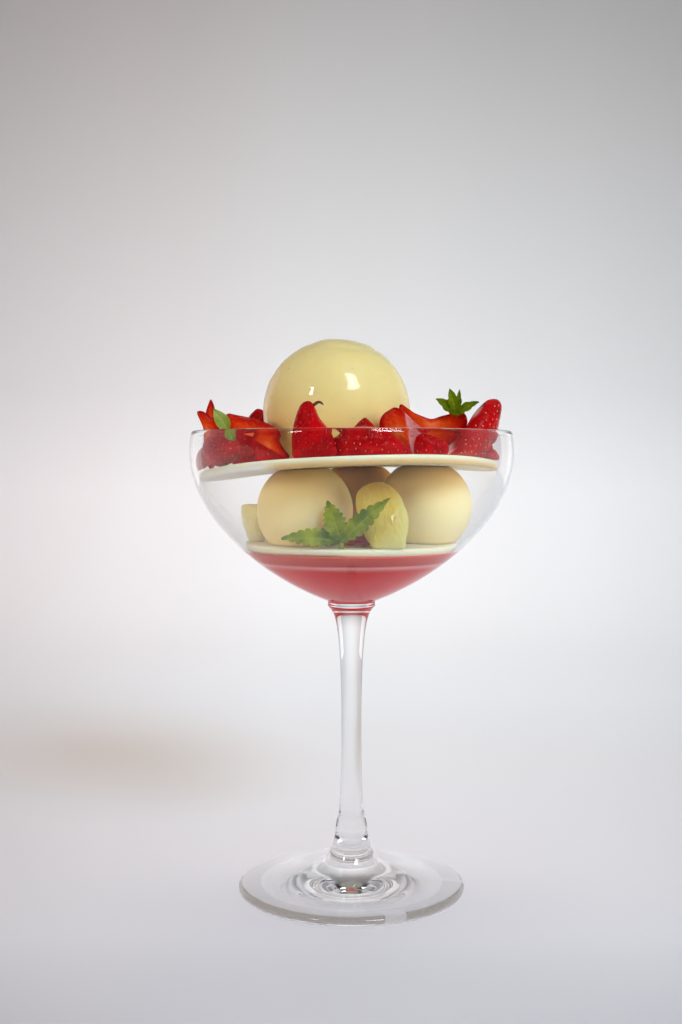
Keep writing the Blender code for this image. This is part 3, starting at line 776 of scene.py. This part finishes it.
def seed_places(kind, length, radius, turn):
    """Places (share, angle) of the seeds, spread evenly over the skin in a golden-angle spiral."""
    start, end = SKINS[kind]
    places = []
    share = BERRY_HULL + 0.04
    angle = turn
    while share < 0.97:
        size = radius * berry_radius(share)
        share += SEED_SPACING**2 / (2 * pi * max(size, 1.5) * length)
        angle = (angle + 137.508) % 360
        if share < 0.985 and (kind == "whole" or start + 6 < angle < end - 6):
            places.append((share, radians(angle)))
    return places


def berry_mesh(kind, length, radius, turn):
    """Points, faces, marks and seeds of a piece along +X, round its own middle."""
    outline = berry_outline(kind)
    seeds = seed_places(kind, length, radius, turn)
    points, rings, rim, dimple = [], [], [], []
    for i in range(BERRY_RINGS + 1):
        share = BERRY_HULL + (1 - BERRY_HULL) * sin(pi / 2 * i / BERRY_RINGS)
        size = radius * berry_radius(share)
        x = (share - 0.5) * length
        if size < 1e-6:
            rings.append(ring_of(points, 1))
            points.append(Vector((x, 0, 0)))
            rim.append(1)
            dimple.append(0)
            continue
        rings.append(ring_of(points, len(outline)))
        for y, z, _ in outline:
            reach = hypot(y, z)
            if reach > 0.999:
                angle = atan2(z, y) % (2 * pi)
                depth = dimple_depth(
                    (x - (s - 0.5) * length) ** 2 + (size * remainder(angle - a, 2 * pi)) ** 2
                    for s, a in seeds
                )
                out = size - DIMPLE_DEPTH * depth
                out += 0.22 * noise(Vector((x + 31 * turn, y * size, z * size)) / 3.2)
                flat = 0
            else:
                depth, out = 0, size
                flat = 0.3 * noise(Vector((x, y * size + turn, z * size)) / 2.5) * (1 - reach**4)
            points.append(Vector((x, out * y, out * z + flat)))
            rim.append(min(reach, 1))
            dimple.append(depth)
    faces = joined(rings)
    cut = [edge[2] for _ in rings[1:] for edge in outline]
    end_cap(points, faces, rings[0], rim, dimple, cut)
    return points, faces, {"rim": rim, "dimple": dimple, "cut": cut}, seeds


def end_cap(points, faces, ring, rim, dimple, cut):
    """Closes the leafy end with rings that shrink to its middle."""
    middle = sum((points[i] for i in ring), Vector()) / len(ring)
    size = max((points[i] - Vector((points[i].x, 0, 0))).length for i in ring)
    rings = [ring]
    for shrink in (0.86, 0.66, 0.42, 0.2):
        rings.append(ring_of(points, len(ring)))
        for i in ring:
            p = middle + (points[i] - middle) * shrink
            p.x -= 0.35 * (1 - shrink**3)
            points.append(p)
            rim.append(min(hypot(p.y, p.z) / size, 1))
            dimple.append(0)
    rings.append(ring_of(points, 1))
    points.append(middle - Vector((0.35, 0, 0)))
    rim.append(0.3)
    dimple.append(0)
    new = joined(rings)
    faces += new
    cut += [1] * len(new)


def seed_shape():
    points, faces = ball(1, 7, 5)
    long, wide, high = SEED_SIZE
    return [Vector((z * long, y * wide, x * high)) for x, y, z in points], faces


SEED_SHAPE = seed_shape()


def settle(points, node):
    """The move, in millimetres, that puts the middle of the points' box on that of a CAD node's."""
    low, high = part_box(node)
    target = (low + high) / 2 / MM
    middle = Vector([(min(p[i] for p in points) + max(p[i] for p in points)) / 2 for i in range(3)])
    return target - middle


def add_seed(bag, place, normal, along, tone):
    """Adds a seed to the bag (points, faces, tones): a drop shape that lies on a surface."""
    points, faces, tones = bag
    shape, shape_faces = SEED_SHAPE
    side = normal.cross(along).normalized()
    turn = Matrix((side.cross(normal), side, normal)).transposed()
    add_shape(points, faces, [turn @ p + place for p in shape], shape_faces)
    tones += [tone + random.uniform(-0.25, 0.25)] * len(shape)


def make_berries():
    look = berry_look()
    bag = ([], [], [])
    for number, (name, (kind, length, radius, tip, skin)) in enumerate(BERRIES.items()):
        points, faces, marks, seeds = berry_mesh(kind, length, radius, 40 * number)
        turn = aimed(tip, skin)
        placed = [turn @ p for p in points]
        move = settle(placed, "strawberry_" + name)
        placed = [p + move for p in placed]
        stand_for("strawberry_" + name, "strawberry_flesh", placed, faces, look, marks)
        for share, angle in seeds:
            size = radius * berry_radius(share)
            ahead = radius * berry_radius(min(share + 0.02, 0.995))
            slope = atan2(ahead - size, 0.02 * length)
            out = Vector((0, cos(angle), sin(angle)))
            lift = size - DIMPLE_DEPTH * SEED_SINK
            at = Vector(((share - 0.5) * length, lift * cos(angle), lift * sin(angle)))
            normal = out * cos(slope) - Vector((sin(slope), 0, 0))
            add_seed(bag, turn @ at + move, turn @ normal, turn @ Vector((1, 0, 0)), 0.4)
    for number, name in enumerate(SLICES):
        stand_for("strawberry_" + name, "strawberry_flesh", *slice_mesh(name, number, bag, look))
    points, faces, tones = bag
    add_piece("strawberry_seeds", "strawberry_flesh", points, faces, seed_look(), {"tone": tones})


def curve_through(corners, count):
    """A smooth closed curve through corners, with count points from each to the next."""
    curve = []
    for i in range(len(corners)):
        a, b, c, d = (Vector(corners[(i + k) % len(corners)]) for k in (-1, 0, 1, 2))
        for k in range(count):
            t = k / count
            bow, twist = (2 * a - 5 * b + 4 * c - d) * t**2, (3 * b - a - 3 * c + d) * t**3
            curve.append(0.5 * (2 * b + (c - a) * t + bow + twist))
    return curve


def level_axes(turn):
    """The directions along a piece and out of its front, both level, from its turn in degrees."""
    along = direction(radians(turn), 0)
    return along, Vector((along.y, -along.x, 0))


class Slice:
    """The surfaces of one slice: places (u, z) of its cut plane and how far they stand out of it."""

    def __init__(self, name, number):
        (x, y), turn, self.bulge, corners = SLICES[name]
        self.foot = Vector((x, y, 0))
        self.along, self.front = level_axes(turn)
        self.curve = curve_through(corners, CURVE_STEPS)
        self.middle = sum(self.curve, Vector((0, 0))) / len(self.curve)
        ways = [p - self.middle for p in self.curve]
        self.reach = sorted((atan2(*way.yx), way.length) for way in ways)
        self.seam = SEAMS.get(name)
        self.number = number

    def share(self, place):
        """0 at the middle and 1 at the outline."""
        offset = place - self.middle
        angle = atan2(*offset.yx)
        before = self.reach[-1]
        for after in self.reach:
            if after[0] >= angle:
                break
            before = after
        gap = (after[0] - before[0]) % (2 * pi) or 1
        part = ((angle - before[0]) % (2 * pi)) / gap
        return offset.length / (before[1] + (after[1] - before[1]) * part)

    def beyond(self, place):
        """How far a place is beyond the seam, in millimetres."""
        if not self.seam:
            return -1
        start, end = Vector(self.seam[0]), Vector(self.seam[1])
        way = (end - start).normalized()
        return (place - start).dot(Vector((way.y, -way.x)))

    def is_skin(self, place, side):
        """Whether the front (side 1) or the back (side -1) is skin at a place."""
        plain = self.bulge * side > 0
        return plain != (side > 0 and self.beyond(place) > 0)

    def height(self, place, share, side):
        """How far the front (side 1) or the back (side -1) stands out at a place."""
        spot = Vector((place.x, place.y, 9 * self.number + 3 * side))
        if self.bulge * side > 0:
            out = abs(self.bulge) * sqrt(max(0, 1 - share**2.1))
            out += 0.25 * noise(spot / 3) * ease(1, 0.8, share)
        else:
            out = 0.45 * sqrt(max(0, 1 - share**12)) + 0.5 * (1 - share**2)
            out += (0.5 * noise(spot / 4.5) + 0.22 * noise(spot / 1.3)) * ease(1, 0.85, share)
        over = self.beyond(place)
        if side > 0 and over > 0:
            out -= over * abs(self.seam[2]) * ease(1.02, 0.8, share)
        return max(out, 0.12 if share < 0.999 else 0)

    def point(self, place, share, side, sunk=0):
        """A point of the surface in the frame, kept above the disc it stands on."""
        out = self.height(place, share, side) - sunk
        p = self.foot + self.along * place.x + self.front * side * out
        return Vector((p.x, p.y, max(place.y, plate_top(p.x, p.y) + 0.1)))

    def seeds(self, side):
        """Places of the seeds on one side, in staggered rows."""
        low = [min(p[i] for p in self.curve) for i in (0, 1)]
        high = [max(p[i] for p in self.curve) for i in (0, 1)]
        found = []
        for row in range(int((high[1] - low[1]) / (0.86 * SEED_SPACING)) + 1):
            z = low[1] + (row + 0.5) * 0.86 * SEED_SPACING
            for column in range(int((high[0] - low[0]) / SEED_SPACING) + 1):
                u = low[0] + (column + (0.25 if row % 2 else 0.75)) * SEED_SPACING
                place = Vector([c + random.uniform(-SEED_JITTER, SEED_JITTER) for c in (u, z)])
                share = self.share(place)
                if share < 0.9 and self.is_skin(place, side) and abs(self.beyond(place)) > 0.8:
                    found.append((place, share))
        return found


def slice_mesh(name, number, bag, look):
    """Points, faces, look and marks of a slice. Its seeds go in the bag."""
    piece = Slice(name, number)
    points, rings = [], []
    rim, dimple, pale, skin = [], [], [], []

    def add_point(place, share, side, depth):
        points.append(piece.point(place, share, side, DIMPLE_DEPTH * depth))
        rim.append(share)
        dimple.append(depth)
        # pale: painted sheen on the skin of 04, paler pink on the cut face of 07, beyond the seam
        pale.append(PALE_AND_SHEEN.get(name, 0) * ease(0, 0.5, piece.beyond(place)) if side > 0 and share else 0)
        skin.append(piece.is_skin(place, side))

    rings.append(ring_of(points, 1))
    add_point(piece.middle, 0, -1, 0)
    for side in (-1, 1):
        seeds = piece.seeds(side)
        for k in range(SLICE_RINGS):
            step = k + 0.4 if side < 0 else SLICE_RINGS - k - 0.6
            share = sin(0.5 * pi * step / SLICE_RINGS)
            rings.append(ring_of(points, len(piece.curve)))
            for p in piece.curve:
                place = piece.middle + (p - piece.middle) * share
                near = seeds if piece.is_skin(place, side) else ()
                depth = dimple_depth((place - seed).length_squared for seed, _ in near)
                add_point(place, share, side, depth)
        for place, share in seeds:
            here = piece.point(place, share, side)
            beside = [place + Vector(step) for step in ((0, 0.3), (0.3, 0))]
            ahead, right = (piece.point(p, piece.share(p), side) - here for p in beside)
            normal = ahead.cross(right).normalized()
            normal = normal if normal.dot(piece.front) * side > 0 else -normal
            at = piece.point(place, share, side, DIMPLE_DEPTH * SEED_SINK)
            add_seed(bag, at, normal, ahead.normalized(), SEED_TONES.get(name, 0.3))
    rings.append(ring_of(points, 1))
    add_point(piece.middle, 0, 1, 0)
    faces = joined(rings)
    cut = [not all(skin[i] for i in face) for face in faces]
    return points, faces, look, {"rim": rim, "dimple": dimple, "pale": pale, "cut": cut}


def make_stub():
    """The dried, bent end that strawberry_01 keeps at its tip."""
    path = [Vector(p) for p in STUB]
    points, rings = [], []
    circle = arc((0, 0), 1, 0, 324, 10)
    for i, (place, radius) in enumerate(zip(path, STUB_RADII)):
        way = path[min(i + 1, len(path) - 1)] - path[max(i - 1, 0)]
        spin = way.to_track_quat("Z", "Y")
        rings.append(ring_of(points, len(circle)))
        points += [place + spin @ Vector((y * radius, z * radius, 0)) for y, z in circle]
    faces = joined(rings) + [rings[0], rings[-1]]
    look = Look("dried_end", (0.1, 0.02, 0.01), Roughness=0.6)
    add_piece("strawberry_stub", "strawberry_flesh", points, faces, look)


# ---- citrus

# Segments: place, turn round Z and lean to the back in degrees, half the thickness, and the outline
# as (place along the plane, way up it)
CITRUS = {
    "citrus_front": ((10.5, -35.5), 0, 24, 3, [
        (-2.2, 0), (6.6, 0), (7.8, 3.3), (8.8, 8), (8.6, 12), (7.4, 15.6), (6, 19.3), (3.4, 22.4),
        (-0.7, 24), (-5.2, 23.2), (-8.3, 20.4), (-9.1, 16.4), (-8.3, 11.2), (-6.4, 5.2), (-4.4, 1.8),
    ]),
    "citrus_left": ((-35.6, -2), -14, 0, 3.8, [
        (-1.4, 0), (3.6, 0), (4.8, 3.6), (5, 7.4), (4.4, 11), (2.4, 13), (-0.6, 13.5), (-4, 13.2),
        (-4.6, 11.4), (-4.2, 7.4), (-3, 3.6),
    ]),
}
SEGMENT_RINGS = 26


def make_citrus():
    """Segments of pulp cells, which are long and run up them, with a pale skin round their edge."""
    looks = {
        "citrus_front": citrus_look("citrus_flesh", 0.25, (0.8, 0.55, 0.06), (0.83, 0.71, 0.25)),
        # The left segment's paler look is partly its own paler colour and partly painted light, for the
        # light it lets through from behind.
        "citrus_left": citrus_look("citrus_pale", 0.1, (0.99, 0.86, 0.44), (1, 0.93, 0.58)),
    }
    floor = LOWER_TOP + TOUCH
    for number, (name, (at, turn, lean, half, outline)) in enumerate(CITRUS.items()):
        along, level = level_axes(turn)
        upward = Vector((0, 0, cos(radians(lean)))) - level * sin(radians(lean))
        front = along.cross(upward)
        curve = curve_through(outline, CURVE_STEPS)
        middle = sum(curve, Vector((0, 0))) / len(curve)
        foot = Vector((*at, floor))
        points, rings, rim, cells = [], [], [], []
        for i in range(-SEGMENT_RINGS, SEGMENT_RINGS + 1):
            share = sin(0.5 * pi * (1 - abs(i) / (SEGMENT_RINGS + 1)))
            side = -1 if i < 0 else 1
            rings.append(ring_of(points, len(curve)))
            for p in curve:
                place = middle + (p - middle) * share
                cell = noise(Vector((place.x / 0.8, place.y / 2.4, 7 * number + 3 * side)))
                out = half * (1 - share**3.2) ** 0.6 + 0.3 * cell * ease(1, 0.85, share)
                edge = share * ease(-6, 7, place.x + 0.35 * (11 - place.y))
                points.append(foot + along * place.x + upward * place.y + front * side * out)
                rim.append(edge)
                cells.append(0.5 + cell)
        for side in (-1, 1):
            rings.insert(0 if side < 0 else len(rings), ring_of(points, 1))
            points.append(foot + along * middle.x + upward * middle.y + front * side * half)
            rim.append(0)
            cells.append(0.5)
        points = [Vector((p.x, p.y, max(p.z, floor))) for p in points]
        marks = {"rim": rim, "cell": cells}
        stand_for(name, "citrus_flesh", points, joined(rings), looks[name], marks)


# ---- leaves

MINT_KNOT = (-3.4, -35, 130.4)
MINT_LEAVES = (
    (20.5, 4, (172, 3), (270, 40)),
    (15, 4, (140, 65), (270, 10)),
    (22.5, 3.6, (341, 41), (270, 20)),
)
SEPAL_KNOT = (36.6, -21, 173.6)
SEPALS = (
    (9, 2.4, (187, 36), (270, 30)),
    (9.2, 2.3, (200, 72), (270, 10)),
    (8.6, 1.2, (0, 84), (270, 0)),
    (8.6, 2, (350, 30), (270, 40)),
    (7.5, 1.4, (90, 40), (0, 90)),
)
LEFT_SEPAL_KNOT = (-41.4, -33.8, 167.8)
LEFT_SEPALS = (
    (8.8, 2.4, (180, 54), (262, 10)),
    (4.4, 1.9, (10, -60), (262, 10)),
)


def leaf_width(share, teeth, cut):
    """Half width of a leaf from its base to its point, 1 at the widest, with teeth along its edge."""
    if not 0 < share < 1:
        return 0
    plain = sin(pi * share**0.75) ** 0.9
    if not teeth:
        return plain
    phase = (share * teeth) % 1
    return plain * (1 - cut + cut * sin(pi * phase**1.4) ** 0.6)


def leaf_mesh(length, width, teeth, cut, arch):
    """Points, faces and vein marks of a leaf along +X with its upper face to +Z."""
    rows = 16 * max(teeth, 5)
    half = 9
    points, vein = [], []
    for side in (1, -1):
        for i in range(rows + 1):
            share = i / rows
            size = max(width * leaf_width(share, teeth, cut), 0.05)
            for j in range(-half, half + 1):
                across = j / half
                rib = abs((share * max(teeth, 6) - 0.55 * abs(across)) % 1 - 0.5) * 2
                line = max(1 - 7 * abs(across), 0.8 * max(1 - 6 * rib, 0) * (1 - abs(across)))
                puff = 0.14 * min(rib * 2, 1) * (1 - abs(across) ** 2)
                z = 0.28 * width * abs(across) - 0.05 + puff - 0.16 * max(line, 0)
                z += arch * sin(pi * share) - arch * 1.2 * share**2
                points.append(Vector((share * length, across * size, z + side * 0.16)))
                vein.append(max(min(line, 1), 0))
    wide = 2 * half + 1
    top = [[i * wide + j for j in range(wide)] for i in range(rows + 1)]
    shift = (rows + 1) * wide
    faces = []
    for i in range(rows):
        for j in range(wide - 1):
            quad = [top[i][j], top[i + 1][j], top[i + 1][j + 1], top[i][j + 1]]
            faces.append(quad)
            faces.append([k + shift for k in reversed(quad)])
    edge = [row[0] for row in top] + top[-1][1:] + [row[-1] for row in top[-2::-1]] + top[0][-2:0:-1]
    for a, b in zip(edge, edge[1:] + edge[:1]):
        faces.append([a, b, b + shift, a + shift])
    return points, faces, vein


def make_sprig(name, knot, stalk, leaves, look, teeth, cut, arch):
    """Leaves that grow from one short stalk, as one piece."""
    length, radius = stalk
    profile = [(0, -length - radius), (radius, -length)]
    profile += [(radius * 1.1, -0.3), (radius * 0.8, 0.4), (0, 0.7)]
    points, faces = turned(profile, 14)
    points = [Vector(p) + Vector(knot) for p in points]
    vein = [0.6] * len(points)
    for size, width, tip, top in leaves:
        leaf, leaf_faces, leaf_vein = leaf_mesh(size, width, teeth, cut, arch)
        turn = aimed(tip, top)
        add_shape(points, faces, [turn @ p + Vector(knot) for p in leaf], leaf_faces)
        vein += leaf_vein
    low = LOWER_TOP + TOUCH if knot[2] < UPPER_HEIGHT else 0
    points = [Vector((p.x, p.y, max(p.z, low))) for p in points]
    stand_for(name, "green_leaf", points, faces, look, {"vein": vein})


def make_leaves():
    mint = leaf_look("mint_leaf", (0.08, 0.125, 0.008), (0.3, 0.315, 0.012), (0.36, 0.41, 0.06))
    dull = leaf_look("dull_leaf", (0.2, 0.22, 0.02), (0.34, 0.38, 0.1), (0.4, 0.44, 0.14))
    sepal = leaf_look("sepal_leaf", (0.05, 0.075, 0.001), (0.16, 0.18, 0.003), (0.22, 0.27, 0.02))
    make_sprig("mint_sprig", MINT_KNOT, (2.6, 0.9), MINT_LEAVES, mint, 8, 0.34, 0.8)
    make_sprig("calyx_right", SEPAL_KNOT, (0.5, 0.8), SEPALS, sepal, 3, 0.25, 0.5)
    make_sprig("calyx_left", LEFT_SEPAL_KNOT, (0.5, 0.7), LEFT_SEPALS, dull, 0, 0, 0.5)


# ---- stage, light and camera

FLOOR_RADIUS = 0.62
SWEEP_RADIUS = 0.9
SWEEP_HEIGHT = 2


def make_stage():
    """A round sweep: a flat floor that curves up into a wall all round, with painted shade and light in its
    colour.
    """
    profile = [(0, 0), (FLOOR_RADIUS * 0.5, 0), (FLOOR_RADIUS, 0)]
    profile += arc((FLOOR_RADIUS, SWEEP_RADIUS), SWEEP_RADIUS, -90, 0, 24)[1:]
    profile += [(FLOOR_RADIUS + SWEEP_RADIUS, SWEEP_HEIGHT)]
    points, faces = turned(profile, 96)
    look = Look("sweep", (0.8, 0.8, 0.82), Roughness=0.9, Specular_IOR_Level=0)
    axes = look.axes()
    # Painted shade: darker towards the front, and nearly black behind the camera for a dim room.
    depth = look.ramp(
        look.maths("MULTIPLY_ADD", axes["Y"], 0.4, 0.4), (0.12, (0.08, 0.08, 0.08)),
        (0.3, (0.52, 0.5, 0.5)), (0.35, (0.66, 0.61, 0.61)), (0.38, (0.84, 0.79, 0.78)),
        (0.42, (0.86, 0.81, 0.8)), (0.48, (0.87, 0.83, 0.82)), (0.55, (0.88, 0.87, 0.88)),
    )
    # Painted shade: darker up the wall.
    upper_wall_shade = (0.5, (0.8, 0.8, 0.79)), (0.85, (0.69, 0.67, 0.65))
    rise = look.ramp(axes["Z"], (0.12, 1), (0.25, 0.88), *upper_wall_shade)
    # Painted shade: darker towards the sides.
    aside = look.maths("DIVIDE", look.maths("ABSOLUTE", axes["X"]), look.maths("ADD", axes["Y"], 0.6))
    side_shade = look.ramp(aside, (0.05, 1), (0.16, 0.93), (0.26, 0.82))
    # Painted light: warmer at the left, a little cooler at the right.
    across = look.maths("ADD", axes["X"], 0.5)
    warm = look.ramp(across, (0.2, (1, 0.95, 0.95)), (0.45, 1), (0.75, (0.98, 0.99, 1)))
    look.use(Base_Color=look.times(look.times(look.times(depth, rise), warm), side_shade))
    sweep = add_mesh("sweep", points, faces, look)


def add_lamp(name, turn, rise, distance, size, power, colour, glint=False):
    """A soft lamp aimed at the dessert, seen only in reflections and through glass if a glint.

    turn is from the front towards the right, rise above level.
    """
    away = direction(radians(turn - 90), radians(rise))
    light = bpy.data.lights.new(name, "AREA")
    light.shape = "RECTANGLE"
    light.size, light.size_y = size
    light.energy = power
    light.color = colour
    lamp = add_object(name, light)
    lamp.location = Vector((0, 0, 0.13)) + away * distance
    lamp.rotation_euler = away.to_track_quat("Z", "Y").to_euler()
    lamp.visible_diffuse = not glint
    lamp.visible_glossy = lamp.visible_transmission = glint
    return lamp


def make_light():
    add_lamp("window", 30, 30, 1.3, (0.42, 0.42), 14, (0.54, 0.76, 1))
    for name, turn in (("pane", 25), ("second_pane", 35)):
        add_lamp(name, turn, 47, 1.3, (0.2, 0.5), 3.3, (0.96, 0.99, 1), glint=True)
    add_lamp("side_pane", -42, 34, 1.3, (0.16, 0.26), 3.2, (1, 0.99, 0.97), glint=True)
    add_lamp("left_card", -138, 4, 0.8, (0.35, 0.7), 0.3, (1, 0.97, 0.96), glint=True)
    add_lamp("right_card", 138, 4, 0.8, (0.35, 0.7), 0.3, (1, 0.98, 0.97), glint=True)
    add_lamp("fill", -54, 3, 1.2, (1, 0.6), 15.5, (1, 0.9, 0.76))
    add_lamp("right_fill", 66, 8, 1.1, (0.8, 0.5), 7.4, (1, 0.92, 0.8))
    backdrop = add_lamp("backdrop", 180, 40, 1.3, (1.2, 0.5), 4.8, (1, 0.98, 0.95))
    backdrop.location = (0, 0.5, 1.5)
    backdrop.rotation_euler = Vector((0, -0.45, 1.35)).to_track_quat("Z", "Y").to_euler()
    backdrop.data.spread = radians(100)
    world = bpy.data.worlds.new("room")
    world.use_nodes = True
    sockets = world.node_tree.nodes["Background"].inputs
    sockets["Color"].default_value = (1, 0.93, 0.84, 1)
    sockets["Strength"].default_value = 0.3
    bpy.context.scene.world = world


def make_camera():
    data = bpy.data.cameras.new("camera")
    data.lens = 45
    data.sensor_width = data.sensor_height = 36
    data.sensor_fit = "VERTICAL"
    data.clip_start = 0.01
    camera = add_object("camera", data)
    camera.location = (0, -0.4666, 0.1574)
    camera.rotation_euler = (radians(90 - 2.297), 0, radians(0.47))
    bpy.context.scene.camera = camera


def make_scene_settings():
    bpy.context.scene.view_settings.view_transform = "Standard"
    cycles = bpy.context.scene.cycles
    cycles.use_denoising = True
    cycles.max_bounces = cycles.glossy_bounces = cycles.transmission_bounces = 32
    cycles.transparent_max_bounces = 12
    cycles.caustics_reflective = cycles.caustics_refractive = False


def main():
    random.seed(7)
    make_camera()
    make_glass()
    make_sauce()
    wafer = wafer_look()
    make_lower_disc(wafer)
    make_upper_disc(wafer)
    # Painted shade: the small scoops turn darker and ochre towards their tops, under the upper disc, and
    # the back scoop gets ice_shaded, a darker, more orange copy of the ice cream.
    top = ((0.144, 1), (0.15, (1, 0.95, 0.86)), (0.155, (1, 0.82, 0.5)))
    make_small_scoops(
        ice_look("ice_matt", 0, (0.97, 0.78, 0.41), (0.94, 0.72, 0.34), *top),
        ice_look("ice_shaded", 0, (0.98, 0.6, 0.16), (0.96, 0.52, 0.1), *top),
    )
    # Painted shade: the large scoop darker and warmer at its base on the disc; its top a little bluer.
    low = ((0.16, (1, 0.86, 0.72)), (0.185, (0.97, 0.97, 1)))
    make_top_scoop(ice_look("ice_melting", 0.8, (0.84, 0.67, 0.28), (0.8, 0.61, 0.22), *low))
    make_berries()
    make_citrus()
    make_leaves()
    make_drops()
    make_stub()
    make_stage()
    make_light()
    make_scene_settings()


main()
